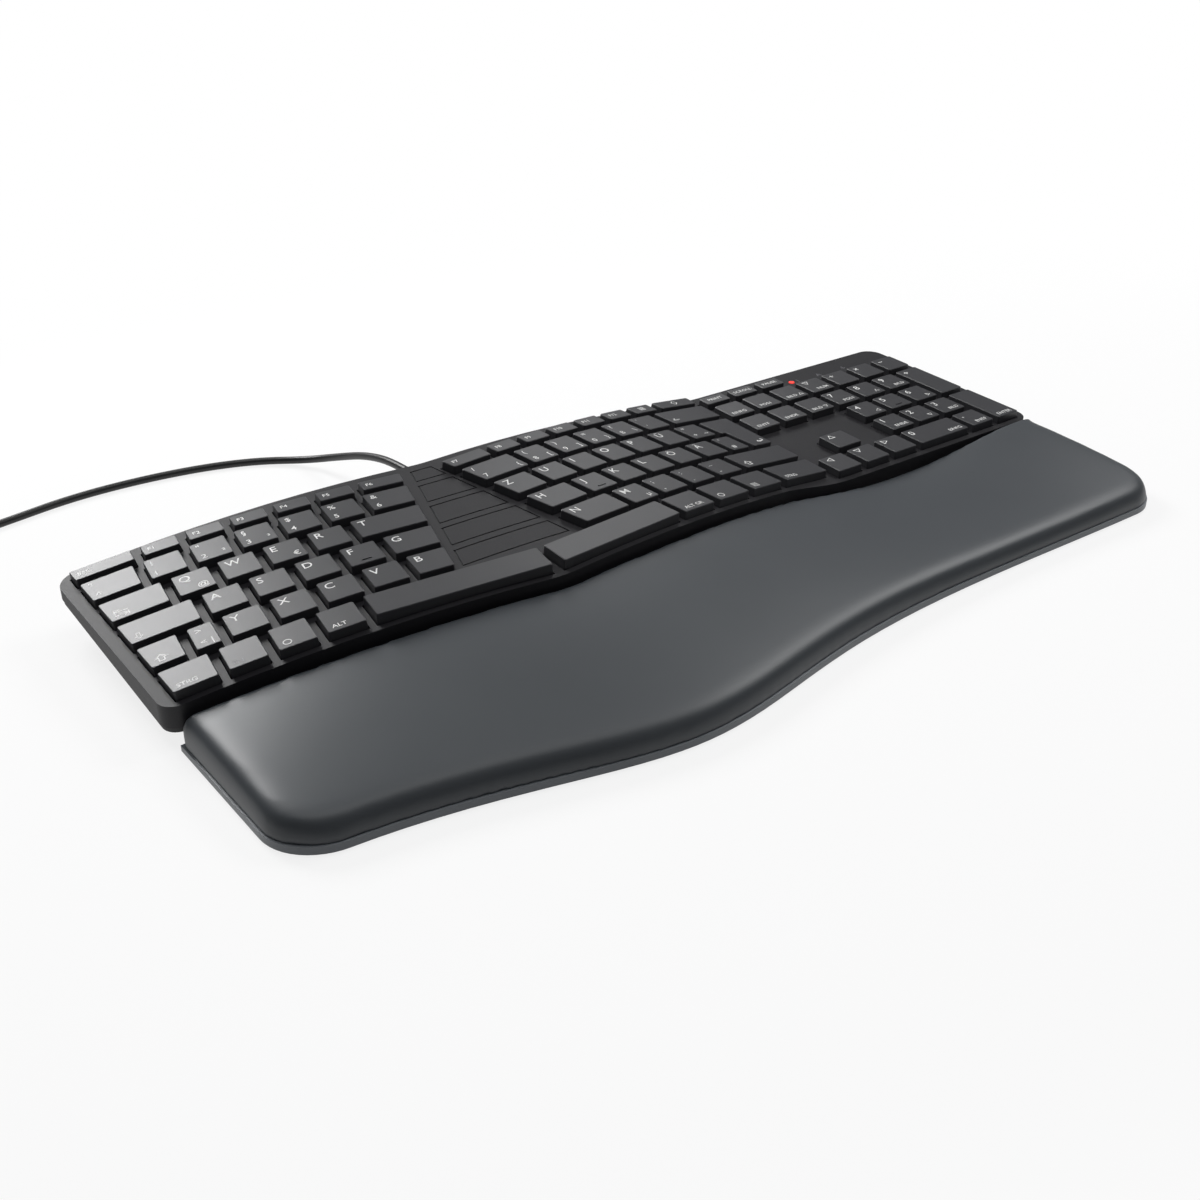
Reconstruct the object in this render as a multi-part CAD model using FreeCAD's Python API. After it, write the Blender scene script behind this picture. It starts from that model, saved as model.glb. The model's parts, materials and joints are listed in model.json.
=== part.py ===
# Ergonomic keyboard with a split, arched key field and a padded palm rest.
# Millimetres, +Z up, +Y away from the user, +X to the user's right.
# The origin is on the desk, under the middle of the keyboard without its cable.
import FreeCAD, Part
import math
import os

V = FreeCAD.Vector

# Case
CASE_WIDTH = 471.5
CASE_DEPTH = 224.0
CASE_LEFT_FROM_SPLIT = 158.3
BACK_DIP = 16.5
CASE_CORNER_RADIUS = 8.5
BACK_BEND_RADIUS = 60.0
FRONT_BEND_RADIUS = 60.0
COVER_WALL = 2.2
COVER_PLATE = 1.6
SKIRT_BACK_HEIGHT = 8.1
SKIRT_SLOPE = 0.085
BOTTOM_WALL = 2.0
BOTTOM_GAP = 0.2
FLOOR_LEVEL = 2.0
UNDERCUT_LEFT = 20.0
UNDERCUT_RIGHT = 8.0
UNDERCUT_BACK = 4.0
UNDERCUT_FRONT = 3.0
UNDERCUT_TOP = 1.0
UNDERCUT_TOP_LEVEL = 17.0
SHELL_LEVEL = 32.0

# The arched key-top surface: an arc on each side of the split, then a hollow, then a flat
CROWN_HEIGHT = 39.3
CROWN_Y = 72.0
ARCH_RADIUS_LEFT = 850.0
ARCH_RADIUS_RIGHT = 960.0
VALLEY_RADIUS = 120.0
FLAT_HEIGHT = 23.55
TILT_SLOPE = 0.042

# Key field
KEY_PITCH = 19.05
ROW_PITCH_ALONG = 18.86
HALF_ANGLE = 8.2
HALF_START = 14.0
HALF_BACK = 18.1
PAD_START = 175.7
PAD_BACK_INSET = 18.0
FUNCTION_ROW_DEPTH = 0.64
END_KEY_LEFT = 155.3
END_KEY_RIGHT = 175.0
SPLIT_KEY_EDGE = 0.9
TOP_INSET = 2.1
RIM_INSET = 1.95
FRAME_DROP = 3.8
CAP_HEIGHT = 7.0
CAP_CORNER = 0.7
CAP_EDGE = 0.25
HOMING_BAR = (4.2, 0.7, 0.3)
HOMING_BAR_PLACE = -4.6
CAP_WALL = 0.9
CAP_ROOF = 1.4
WELL_CLEARANCE = 0.45
EDGE_ROOM = 0.25
KEY_TRAVEL = 2.5
STEM_WIDTH = 3.6
STEM_CLEARANCE = 0.3
CHIMNEY_WALL = 0.7
CHIMNEY_TOP = 6.0

# Sheets under the keys, as depths under the key tops
GUIDE_TOP = 9.9
GUIDE_THICKNESS = 0.8
STEM_BOTTOM = 10.75
STEM_TO_DOME = 0.2
DOME_SPARE = 0.05
RUBBER_THICKNESS = 0.4
DOME_RADIUS = 3.6
DOME_SKIN = 0.6
SHEET_THICKNESS = 0.2
SHEET_GAP = 0.05
PLATE_THICKNESS = 0.7
STACK_LEFT_INSET = 10.8
STACK_FRONT_INSET = 5.6
STACK_RIGHT_INSET = 8.6
STACK_BACK_INSET = 6.0
STACK_CLEARANCE = 0.4

# Stabiliser wires of the two space bars
WIRE_RADIUS = 0.7
WIRE_HALF_LENGTH = 26.0
WIRE_ARM = 5.4
WIRE_AXIS_DEPTH = 8.3
WIRE_ARM_ANGLE = 28.0
WIRE_AXIS_OFFSET = -4.4
WIRE_CLEARANCE = 0.3
CLIP_WIDTH = 2.4
CLIP_DEPTH = 3.6
CLIP_FROM_END = 6.0
CAP_FOOT_GAP = 0.3

# Plateau between the halves
GROOVE_WIDTH = 0.7
GROOVE_DEPTH = 0.4

# Palm rest
REST_GAP = 1.6
REST_END_INSET = 3.1
REST_CORNER_RADIUS = 22.0
REST_FOOT_GAP = 0.8
REST_BACK = -86.0
REST_SPAN = 125.0
PAD_LEDGE = 0.6
PAD_THICKNESS = 12.0
PAD_CLEARANCE = 0.1
PAD_REAR_DROP = 7.0
PAD_REACH = 88.0
PAD_FRONT_HEIGHT = 11.8
PAD_CROWN = 2.6
PAD_FRONT_ROLL = 6.0
PAD_REAR_ROLL = 1.5
RIM_HEIGHT = 3.6
RIM_WALL = 2.4
TONGUE_REACH = 1.5
TONGUE_WIDTH = 20.0
TONGUE_LEVEL = 4.5
TONGUE_HEIGHT = 3.0
TONGUE_CLEARANCE = 0.25
TONGUE_PLACES = [-100.0, -30.0, 40.0, 105.0]

# Feet, screws and posts
RUBBER_FOOT_RADIUS = 6.0
POST_RADIUS = 3.2
POST_PILOT_RADIUS = 1.1
POST_BOSS_RADIUS = 4.0
POST_COLLAR_RADIUS = 5.4
POST_DEPTH = 16.6
POST_HOLE_RADIUS = 3.8
SCREW_SHANK_RADIUS = 1.05
SCREW_HEAD_RADIUS = 2.5
SCREW_HEAD_HEIGHT = 1.6
SCREW_LENGTH = 7.5
SCREW_SEAT = 1.3
SCREW_CLEARANCE = 0.35
FLIP_FOOT_WIDTH = 34.0
FLIP_FOOT_LENGTH = 22.0
FLIP_FOOT_THICKNESS = 2.8
FLIP_PIN_RADIUS = 1.0
FLIP_PIN_CLEARANCE = 0.3
FLIP_PIN_LENGTH = 1.6
FLIP_CLEARANCE = 0.35
FLIP_ROOM = 0.5
REST_FOOT_RADIUS = 6.0
REST_BOSS_RADIUS = 7.5

# Board, its connector and the indicator
TAIL_WIDTH = 24.0
BOARD_LEVEL = 9.0
BOARD_THICKNESS = 1.6
BOARD_SIZE = (62.0, 26.0)
BOARD_BOSS_RADIUS = 2.6
BOARD_PIN_RADIUS = 1.2
CONNECTOR_HEIGHT = 4.0
CONNECTOR_DEPTH = 5.0
LENS_RADIUS = 1.5
LENS_CLEARANCE = 0.15
LENS_LENGTH = 4.5
LENS_PROUD = 0.2

# Cable
CABLE_DIAMETER = 3.8
GLAND_HEIGHT = 24.6
GLAND_FROM_SPLIT = 10.0
GLAND_RADIUS = 4.2
GLAND_REACH = 12.0
GLAND_BORE_START = -15.0
GLAND_BORE_END = 20.0
COIL_FIRST_RADIUS = 32.5
COIL_HALF_TURNS_IN = 9
COIL_HALF_TURNS_OUT = 8
COIL_GAP = 0.5
PLUG_WIDTH = 15.0
PLUG_HEIGHT = 8.0
PLUG_LENGTH = 26.0
PLUG_TIP_LENGTH = 12.0
PLUG_BEVEL = 1.5

# Places that follow from the sizes above
SPLIT_X = CASE_LEFT_FROM_SPLIT - CASE_WIDTH / 2
ROW_LINE_Y = CASE_DEPTH / 2 - PAD_BACK_INSET
LIE = CABLE_DIAMETER / 2
DOME_TOP = STEM_BOTTOM + STEM_TO_DOME
DOME_BASE = STEM_BOTTOM + KEY_TRAVEL + DOME_SPARE
MEMBRANE_TOP = DOME_BASE + RUBBER_THICKNESS + SHEET_GAP
SPACER_TOP = MEMBRANE_TOP + SHEET_THICKNESS + SHEET_GAP
MEMBRANE_BOTTOM = SPACER_TOP + SHEET_THICKNESS + SHEET_GAP
PLATE_TOP = MEMBRANE_BOTTOM + SHEET_THICKNESS + SHEET_GAP
STACK_BOTTOM = PLATE_TOP + PLATE_THICKNESS
PAD_FRONT = -5 * KEY_PITCH - 1.75
PARTS = "parts"

# Places as (distance from the split axis, distance from the number block's back line)
POST_PLACES = [
    (-6.6, -26.0),
    (-7.0, -78.0),
    (PAD_START + 0.5 * KEY_PITCH, -2.5 * KEY_PITCH),
    (PAD_START + 2.5 * KEY_PITCH, -3.5 * KEY_PITCH),
    (PAD_START + 88.0, 7.2),
    (PAD_START + 126.0, 7.2),
]
FOOT_PLACES = [(-118.0, -78.0), (-122.0, 1.0), (268.0, -84.0), (286.0, 1.0), (10.0, -92.0)]
REST_FOOT_PLACES = [(-125.0, -158.0), (20.0, -180.0), (150.0, -168.0), (285.0, -158.0)]
FLIP_PLACES = [(-112.0, -12.0), (262.0, -12.0)]
LENS_PLACE = (PAD_START + 65.0, 6.6)
TAIL_PLACE = (58.0, -30.0)
COIL_CENTRE = (-202.0, 92.0)

# Plateau tiles between the halves
TILE_BACKS = [-3.2, -17.3, -36.5, -56.0, -74.8]
TILE_FRONTS = [-13.5, -32.9, -52.3, -71.0, -87.7]
TILE_LEFT_EDGE = -2.8
TILE_RIGHT_EDGE = 8.1
TILE_LEFT_LEAN = 0.309
TILE_RIGHT_LEAN = 0.19

# Front edge of the palm rest, left to right
PALM_FRONT = [
    (-CASE_LEFT_FROM_SPLIT, -182.3),
    (-112.0, -184.4),
    (-84.0, -189.3),
    (-52.0, -196.9),
    (-25.0, -203.0),
    (0.0, -205.6),
    (27.0, -203.2),
    (58.0, -196.6),
    (91.0, -190.0),
    (125.0, -185.8),
    (165.0, -183.6),
    (230.0, -183.2),
    (CASE_WIDTH - CASE_LEFT_FROM_SPLIT, -183.2),
]
REST_STATIONS = [-176.0, -120.0, -60.0, 0.0, 60.0, 120.0, 176.0, 240.0, 330.0]


def at(xi, y):
    """Plan point from the split axis and the back line of the number block."""
    return (SPLIT_X + xi, ROW_LINE_Y + y)


def arch_points():
    """Where the right arc ends and where the flat begins, from the split axis."""
    rise = FLAT_HEIGHT + VALLEY_RADIUS + ARCH_RADIUS_RIGHT - CROWN_HEIGHT
    span = ARCH_RADIUS_RIGHT + VALLEY_RADIUS
    flat_start = math.sqrt(span ** 2 - rise ** 2)
    return flat_start * ARCH_RADIUS_RIGHT / span, flat_start


ARC_END, FLAT_START = arch_points()


def profile_height(xi):
    """Height of the key-top surface over the desk at the crown's Y."""
    if xi < 0:
        return CROWN_HEIGHT - ARCH_RADIUS_LEFT + math.sqrt(ARCH_RADIUS_LEFT ** 2 - xi ** 2)
    if xi < ARC_END:
        return CROWN_HEIGHT - ARCH_RADIUS_RIGHT + math.sqrt(ARCH_RADIUS_RIGHT ** 2 - xi ** 2)
    if xi < FLAT_START:
        return FLAT_HEIGHT + VALLEY_RADIUS - math.sqrt(VALLEY_RADIUS ** 2 - (FLAT_START - xi) ** 2)
    return FLAT_HEIGHT


def key_height(x, y):
    return profile_height(x - SPLIT_X) + TILT_SLOPE * (y - CROWN_Y)


def key_slope(x):
    step = 0.5
    return (profile_height(x - SPLIT_X + step) - profile_height(x - SPLIT_X - step)) / (2 * step)


def below_surface(depth, slope=TILT_SLOPE, y_ref=CROWN_Y):
    """Solid of all that lies under the key-top surface lowered by depth."""
    half = CASE_WIDTH
    y0 = -CASE_DEPTH
    length = 2 * CASE_DEPTH
    rl = ARCH_RADIUS_LEFT - depth
    rr = ARCH_RADIUS_RIGHT - depth
    rv = VALLEY_RADIUS + depth
    crown = CROWN_HEIGHT - depth
    lift = slope * (y0 - y_ref)
    left_xi = -0.75 * half
    arc_xi = ARC_END * rr / ARCH_RADIUS_RIGHT

    def p(xi, z):
        return V(SPLIT_X + xi, y0, z + lift)

    def on_left(xi):
        return p(xi, crown - rl + math.sqrt(rl ** 2 - xi ** 2))

    def on_right(xi):
        return p(xi, crown - rr + math.sqrt(rr ** 2 - xi ** 2))

    flat = FLAT_HEIGHT - depth
    valley_mid = 0.5 * (arc_xi + FLAT_START)
    valley_z = flat + rv - math.sqrt(rv ** 2 - (FLAT_START - valley_mid) ** 2)
    left = on_left(left_xi)
    top = p(0, crown)
    join = on_right(arc_xi)
    start = p(FLAT_START, flat)
    end = p(half, flat)
    low = -3 * CROWN_HEIGHT
    edges = [
        Part.Arc(left, on_left(left_xi / 2), top).toShape(),
        Part.Arc(top, on_right(arc_xi / 2), join).toShape(),
        Part.Arc(join, p(valley_mid, valley_z), start).toShape(),
        Part.makeLine(start, end),
        Part.makeLine(end, V(end.x, y0, low)),
        Part.makeLine(V(end.x, y0, low), V(left.x, y0, low)),
        Part.makeLine(V(left.x, y0, low), left),
    ]
    return Part.Face(Part.Wire(edges)).extrude(V(0, length, slope * length))


def inset(points, distances):
    """Plan polygon drawn in by a distance on each side, side i leaving point i."""
    n = len(points)
    if not isinstance(distances, (list, tuple)):
        distances = [distances] * n
    area = sum(points[i][0] * points[(i + 1) % n][1] - points[(i + 1) % n][0] * points[i][1] for i in range(n))
    turn = 1 if area > 0 else -1
    lines = []
    for i in range(n):
        (x0, y0), (x1, y1) = points[i], points[(i + 1) % n]
        length = math.hypot(x1 - x0, y1 - y0)
        nx, ny = -turn * (y1 - y0) / length, turn * (x1 - x0) / length
        lines.append((nx, ny, nx * x0 + ny * y0 + distances[i]))
    out = []
    for i in range(n):
        a, b = lines[i - 1], lines[i]
        det = a[0] * b[1] - a[1] * b[0]
        out.append(((a[2] * b[1] - a[1] * b[2]) / det, (a[0] * b[2] - a[2] * b[0]) / det))
    return out


def soften(points, radius, steps=3):
    """The plan polygon with each corner replaced by a few points of an arc."""
    out = []
    n = len(points)
    for i in range(n):
        a, b, c = [V(*p, 0) for p in (points[i - 1], points[i], points[(i + 1) % n])]
        u, w = (a - b).normalize(), (c - b).normalize()
        half = u.getAngle(w) / 2
        start = b + u * (radius / math.tan(half))
        stop = b + w * (radius / math.tan(half))
        centre = b + (u + w).normalize() * (radius / math.sin(half))
        first, last = start - centre, stop - centre
        whole = first.getAngle(last)
        for k in range(steps + 1):
            t = k / steps
            reach = first * math.sin((1 - t) * whole) + last * math.sin(t * whole)
            p = centre + reach * (1 / math.sin(whole))
            out.append((p.x, p.y))
    return out


def rounded_wire(points, radii, z=0.0):
    """Closed plan wire of straight sides with a tangent arc at each corner."""
    n = len(points)
    edges = []
    ends = []
    for i in range(n):
        a, b, c = V(*points[i - 1], z), V(*points[i], z), V(*points[(i + 1) % n], z)
        u, w = (a - b).normalize(), (c - b).normalize()
        half = u.getAngle(w) / 2
        reach = radii[i] / math.tan(half)
        middle = (u + w).normalize()
        tip = b + middle * (radii[i] / math.sin(half) - radii[i])
        ends.append((b + u * reach, tip, b + w * reach))
    for i in range(n):
        start, tip, stop = ends[i]
        edges.append(Part.Arc(start, tip, stop).toShape())
        edges.append(Part.makeLine(stop, ends[(i + 1) % n][0]))
    return Part.Wire(edges)


def prism(wire, z0, z1):
    """Upright solid over a plan wire."""
    face = Part.Face(wire)
    face.translate(V(0, 0, z0))
    return face.extrude(V(0, 0, z1 - z0))


def polygon_prism(points, z0, z1):
    return prism(Part.makePolygon([V(x, y, 0) for x, y in points + points[:1]]), z0, z1)


def solid_between(*rings):
    """Flat-sided solid through matching rings of points, from the lowest to the highest."""
    faces = [Part.Face(Part.makePolygon(ring + ring[:1])) for ring in (rings[0], rings[-1])]
    n = len(rings[0])
    for lower, upper in zip(rings, rings[1:]):
        for i in range(n):
            j = (i + 1) % n
            faces.append(Part.Face(Part.makePolygon([lower[i], lower[j], upper[j], upper[i], lower[i]])))
    solid = Part.Solid(Part.Shell(faces))
    if solid.Volume < 0:
        solid.reverse()
    return solid


def cylinder(radius, base, tip):
    """Round bar between two points."""
    axis = tip - base
    return Part.makeCylinder(radius, axis.Length, base, axis)


def one_solid(shape):
    """The shape's only solid, or its largest if a cut left crumbs."""
    return max(shape.Solids, key=lambda s: s.Volume)


# Case outlines

def front_line(xi):
    """Y of the front of the case from the split axis, before its bends are rounded."""
    slope = math.tan(math.radians(HALF_ANGLE))
    depth = HALF_BACK + 5.06 * KEY_PITCH * math.cos(math.radians(HALF_ANGLE))
    nose = depth + slope * (HALF_START + 5.06 * KEY_PITCH * math.sin(math.radians(HALF_ANGLE)))
    return -nose + slope * abs(xi)


def case_corners(distance=0.0):
    """Corner points and radii of the case in plan, drawn in by a distance."""
    right = CASE_WIDTH - CASE_LEFT_FROM_SPLIT
    slope = math.tan(math.radians(HALF_ANGLE))
    meet = (PAD_FRONT - front_line(0)) / slope
    points = [
        at(-CASE_LEFT_FROM_SPLIT, PAD_BACK_INSET),
        at(-CASE_LEFT_FROM_SPLIT, front_line(-CASE_LEFT_FROM_SPLIT)),
        at(0, front_line(0)),
        at(meet, PAD_FRONT),
        at(right, PAD_FRONT),
        at(right, PAD_BACK_INSET),
        at(PAD_START, PAD_BACK_INSET),
        at(5, PAD_BACK_INSET - BACK_DIP),
    ]
    radii = [
        CASE_CORNER_RADIUS,
        CASE_CORNER_RADIUS,
        FRONT_BEND_RADIUS,
        FRONT_BEND_RADIUS,
        CASE_CORNER_RADIUS,
        CASE_CORNER_RADIUS,
        BACK_BEND_RADIUS,
        BACK_BEND_RADIUS,
    ]
    if distance:
        outward = {0: -1, 1: -1, 2: -1, 4: -1, 5: -1, 3: 1, 6: -1, 7: 1}
        radii = [max(r + outward[i] * distance, 1.0) for i, r in enumerate(radii)]
        points = inset(points, distance)
    return points, radii


def case_prism(distance, z0, z1):
    points, radii = case_corners(distance)
    return prism(rounded_wire(points, radii), z0, z1)


# Key layout

def half_point(side, u, v):
    """Plan point of the left (-1) or right (+1) half from its row and column units."""
    a = math.radians(HALF_ANGLE)
    along = abs(u) * ROW_PITCH_ALONG * (1 if u * side >= 0 else -1)
    xi = HALF_START + along * math.cos(a) - v * KEY_PITCH * math.sin(a)
    y = -HALF_BACK + along * math.sin(a) + v * KEY_PITCH * math.cos(a)
    return at(side * xi, y)


def column_at(side, xi, v):
    """Column unit at which a line of constant distance from the split meets a row line."""
    a = math.radians(HALF_ANGLE)
    along = (abs(xi) - HALF_START + v * KEY_PITCH * math.sin(a)) / math.cos(a)
    return side * along / ROW_PITCH_ALONG


def inner_edge(side, v):
    """Column unit of the slanted inner end of a half's rows."""
    return 0.12 + 0.13 * v if side < 0 else -0.15 - 0.10 * v


def row_lines(row):
    """Front and back of a row in row units; row -1 is the shallow function row."""
    return (0.0, FUNCTION_ROW_DEPTH) if row < 0 else (-row - 1.0, -float(row))


def half_cell(side, row, start, end):
    """Plan polygon of one key's cell; a start or end may be 'inner', 'outer' or a column unit."""
    front, back = row_lines(row)
    outer = END_KEY_LEFT if side < 0 else END_KEY_RIGHT

    def column(edge, v):
        if edge == "inner":
            return inner_edge(side, v)
        if edge == "outer":
            return column_at(side, outer, v)
        if edge == "split":
            return column_at(side, SPLIT_KEY_EDGE, v)
        return edge

    return [
        half_point(side, column(start, back), back),
        half_point(side, column(end, back), back),
        half_point(side, column(end, front), front),
        half_point(side, column(start, front), front),
    ]


def half_row(side, row, edges):
    """Cells of one row of a half between consecutive edges."""
    return [half_cell(side, row, edges[i], edges[i + 1]) for i in range(len(edges) - 1)]


def block_cell(column, row, width=1, height=1):
    """Plan polygon of one cell of the straight block on the right."""
    x0 = PAD_START + column * KEY_PITCH
    x1 = x0 + width * KEY_PITCH
    back = -row * KEY_PITCH if row >= 0 else FUNCTION_ROW_DEPTH * KEY_PITCH
    front = back - height * KEY_PITCH if row >= 0 else 0.0
    return [at(x0, back), at(x1, back), at(x1, front), at(x0, front)]


def enter_cell():
    """The two-row enter key, narrower in its front row."""
    upper = half_cell(1, 1, 7.15, "outer")
    lower = half_cell(1, 2, 7.30, "outer")
    return [upper[0], upper[1], lower[2], lower[3], lower[0], upper[3]]


LEFT_ROWS = {
    -1: ["outer", -6.1, -5.1, -4.1, -3.1, -2.1, -1.06, "inner"],
    0: ["outer", -6.2, -5.2, -4.2, -3.2, -2.2, -1.2, "inner"],
    1: ["outer", -5.87, -4.87, -3.87, -2.87, -1.87, "inner"],
    2: ["outer", -5.5, -4.5, -3.5, -2.5, -1.5, "inner"],
    3: ["outer", -6.1, -5.38, -4.38, -3.38, -2.38, -1.38, "inner"],
    4: ["outer", -5.75, -4.75, -3.75, -2.73, 1.41],
}
RIGHT_ROWS = {
    -1: ["inner", 1.2, 2.18, 3.16, 4.14, 5.12, 6.1, 7.08, "outer"],
    0: ["inner", 1.5, 2.5, 3.5, 4.5, 5.5, 6.5, "outer"],
    1: ["inner", 1.15, 2.15, 3.15, 4.15, 5.15, 6.15, 7.15],
    2: ["inner", 1.47, 2.47, 3.47, 4.47, 5.47, 6.47, 7.30],
    3: ["inner", 1.8, 2.8, 3.8, 4.8, 5.8, "outer"],
    4: ["split", 2.4, 3.6, 4.85, 6.1, "outer"],
}


EDGE_KEY_NODES = ["function_keys_left", "function_keys_right", "system_keys"]
HOMING_KEYS = [("home_letter_keys_left", 3), ("home_letter_keys_right", 1), ("number_block_keys", 4)]


def key_groups():
    """Cells of every key, by the node that holds them."""
    left = {row: half_row(-1, row, edges) for row, edges in LEFT_ROWS.items()}
    right = {row: half_row(1, row, edges) for row, edges in RIGHT_ROWS.items()}
    return {
        "escape_key": left[-1][:1],
        "function_keys_left": left[-1][1:],
        "function_keys_right": right[-1],
        "system_keys": [block_cell(c, -1) for c in range(3)],
        "digit_keys_left": left[0],
        "digit_keys_right": right[0][:-1],
        "backspace_key": right[0][-1:],
        "tab_key": left[1][:1],
        "upper_letter_keys_left": left[1][1:],
        "upper_letter_keys_right": right[1],
        "enter_key": [enter_cell()],
        "caps_lock_key": left[2][:1],
        "home_letter_keys_left": left[2][1:],
        "home_letter_keys_right": right[2],
        "left_shift_key": left[3][:1],
        "lower_letter_keys_left": left[3][1:],
        "lower_letter_keys_right": right[3][:-1],
        "right_shift_key": right[3][-1:],
        "left_control_key": left[4][:1],
        "modifier_keys_left": left[4][1:-1],
        "left_space_key": left[4][-1:],
        "right_space_key": right[4][:1],
        "modifier_keys_right": right[4][1:-1],
        "right_control_key": right[4][-1:],
        "navigation_keys": [block_cell(c, r) for r in (0, 1) for c in range(3)],
        "arrow_up_key": [block_cell(1, 3)],
        "arrow_left_key": [block_cell(0, 4)],
        "arrow_down_key": [block_cell(1, 4)],
        "arrow_right_key": [block_cell(2, 4)],
        "number_block_keys": [block_cell(c, r) for r in (1, 2, 3) for c in (3, 4, 5)] + [block_cell(5, 4)],
        "number_zero_key": [block_cell(3, 4, 2)],
        "number_operator_keys": [block_cell(c, 0) for c in (3, 4, 5, 6)],
        "number_plus_key": [block_cell(6, 1, 1, 2)],
        "number_enter_key": [block_cell(6, 3, 1, 2)],
    }


class KeyPlane:
    """The flat plane of one key's top, with depths counted down from it."""

    def __init__(self, cell):
        # An L-shaped cell starts with the four corners that its stem stands between
        seat = cell[:4]
        self.cell = cell
        self.x = sum(p[0] for p in seat) / len(seat)
        self.y = sum(p[1] for p in seat) / len(seat)
        self.z = key_height(self.x, self.y)
        self.sx = key_slope(self.x)
        self.normal = V(-self.sx, -TILT_SLOPE, 1).normalize()

    def point(self, plan, depth):
        dx, dy = plan[0] - self.x, plan[1] - self.y
        flat = V(plan[0], plan[1], self.z + self.sx * dx + TILT_SLOPE * dy)
        return flat - self.normal * depth

    def ring(self, distance, depth):
        return [self.point(p, depth) for p in inset(self.cell, distance)]

    def soft_ring(self, distance, depth):
        return [self.point(p, depth) for p in soften(inset(self.cell, distance), CAP_CORNER)]

    def block(self, distance, top, bottom):
        return solid_between(self.ring(distance, bottom), self.ring(distance, top))

    def round_frustum(self, low_radius, high_radius, bottom, top, sides=8):
        """Many-sided cone on the key's own axis."""
        rings = []
        for radius, depth in ((low_radius, bottom), (high_radius, top)):
            turns = [2 * math.pi * (i + 0.5) / sides for i in range(sides)]
            rings.append([self.point((self.x + radius * math.cos(t), self.y + radius * math.sin(t)), depth)
                          for t in turns])
        return solid_between(*rings)

    def square(self, width, top, bottom, u=0.0, v=0.0, depth=None):
        """Upright bar on the key's own axis, turned with its row."""
        (x0, y0), (x1, y1) = self.cell[0], self.cell[1]
        length = math.hypot(x1 - x0, y1 - y0)
        ax, ay = (x1 - x0) / length, (y1 - y0) / length
        half_u, half_v = width / 2, (depth or width) / 2
        corners = []
        for su, sv in ((-1, -1), (1, -1), (1, 1), (-1, 1)):
            a, b = u + su * half_u, v + sv * half_v
            corners.append((self.x + a * ax - b * ay, self.y + a * ay + b * ax))
        rings = [[self.point(c, d) for c in corners] for d in (bottom, top)]
        return solid_between(*rings)


def keycap(plane):
    """Hollow cap with drawn-in sides and a square stem."""
    levels = [(RIM_INSET, CAP_HEIGHT), (RIM_INSET, FRAME_DROP), (TOP_INSET, CAP_EDGE), (TOP_INSET + CAP_EDGE, 0)]
    body = solid_between(*[plane.soft_ring(distance, depth) for distance, depth in levels])
    hollow_low = plane.ring(RIM_INSET + CAP_WALL, CAP_HEIGHT + 1)
    hollow_top = plane.ring(TOP_INSET + CAP_WALL, CAP_ROOF)
    hollow = solid_between(hollow_low, hollow_top)
    stem = plane.square(STEM_WIDTH, CAP_ROOF / 2, STEM_BOTTOM)
    return one_solid(body.cut(hollow).fuse(stem))


def homing_key(plane):
    """Cap with a small raised bar near its front edge."""
    width, depth, height = HOMING_BAR
    bar = plane.square(width, -height, CAP_ROOF / 2, 0.0, HOMING_BAR_PLACE, depth)
    return one_solid(keycap(plane).fuse(bar))


# Stabilisers of the two long space bars

class Stabiliser:
    """Steel wire under a space bar: a long bar that turns in clips, and an arm at each end."""

    def __init__(self, plane):
        self.plane = plane
        (x0, y0), (x1, y1) = plane.cell[0], plane.cell[1]
        length = math.hypot(x1 - x0, y1 - y0)
        self.ax, self.ay = (x1 - x0) / length, (y1 - y0) / length

    def point(self, u, v, depth):
        p = self.plane
        plan = (p.x + u * self.ax - v * self.ay, p.y + u * self.ay + v * self.ax)
        return p.point(plan, depth)

    def wire(self):
        rise = WIRE_ARM * math.sin(math.radians(WIRE_ARM_ANGLE))
        reach = WIRE_ARM * math.cos(math.radians(WIRE_ARM_ANGLE))
        ends = [self.point(s * WIRE_HALF_LENGTH, WIRE_AXIS_OFFSET, WIRE_AXIS_DEPTH) for s in (-1, 1)]
        shape = cylinder(WIRE_RADIUS, *ends)
        for s, end in zip((-1, 1), ends):
            tip = self.point(s * WIRE_HALF_LENGTH, WIRE_AXIS_OFFSET + reach, WIRE_AXIS_DEPTH - rise)
            shape = shape.fuse(cylinder(WIRE_RADIUS, end, tip))
            shape = shape.fuse(Part.makeSphere(WIRE_RADIUS, end))
        return one_solid(shape)

    def clips(self):
        """Saddles on the guide plate that the wire turns in, open towards the key."""
        saddles = []
        for s in (-1, 1):
            u = s * (WIRE_HALF_LENGTH - CLIP_FROM_END)
            block = self.plane.square(CLIP_WIDTH, WIRE_AXIS_DEPTH, GUIDE_TOP + GUIDE_THICKNESS / 2,
                                      u, WIRE_AXIS_OFFSET, CLIP_DEPTH)
            a = self.point(u - CLIP_WIDTH, WIRE_AXIS_OFFSET, WIRE_AXIS_DEPTH)
            b = self.point(u + CLIP_WIDTH, WIRE_AXIS_OFFSET, WIRE_AXIS_DEPTH)
            saddles.append(block.cut(cylinder(WIRE_RADIUS + WIRE_CLEARANCE, a, b)))
        return saddles


def space_bar(plane):
    """Long cap with a foot over each arm of its wire."""
    cap = keycap(plane)
    rise = WIRE_ARM * math.sin(math.radians(WIRE_ARM_ANGLE))
    reach = WIRE_ARM * math.cos(math.radians(WIRE_ARM_ANGLE))
    foot_end = WIRE_AXIS_DEPTH - rise - WIRE_RADIUS - CAP_FOOT_GAP
    v = WIRE_AXIS_OFFSET + reach
    feet = [plane.square(CLIP_WIDTH, CAP_ROOF / 2, foot_end, s * WIRE_HALF_LENGTH, v) for s in (-1, 1)]
    return one_solid(cap.fuse(feet))


# Top cover

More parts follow.
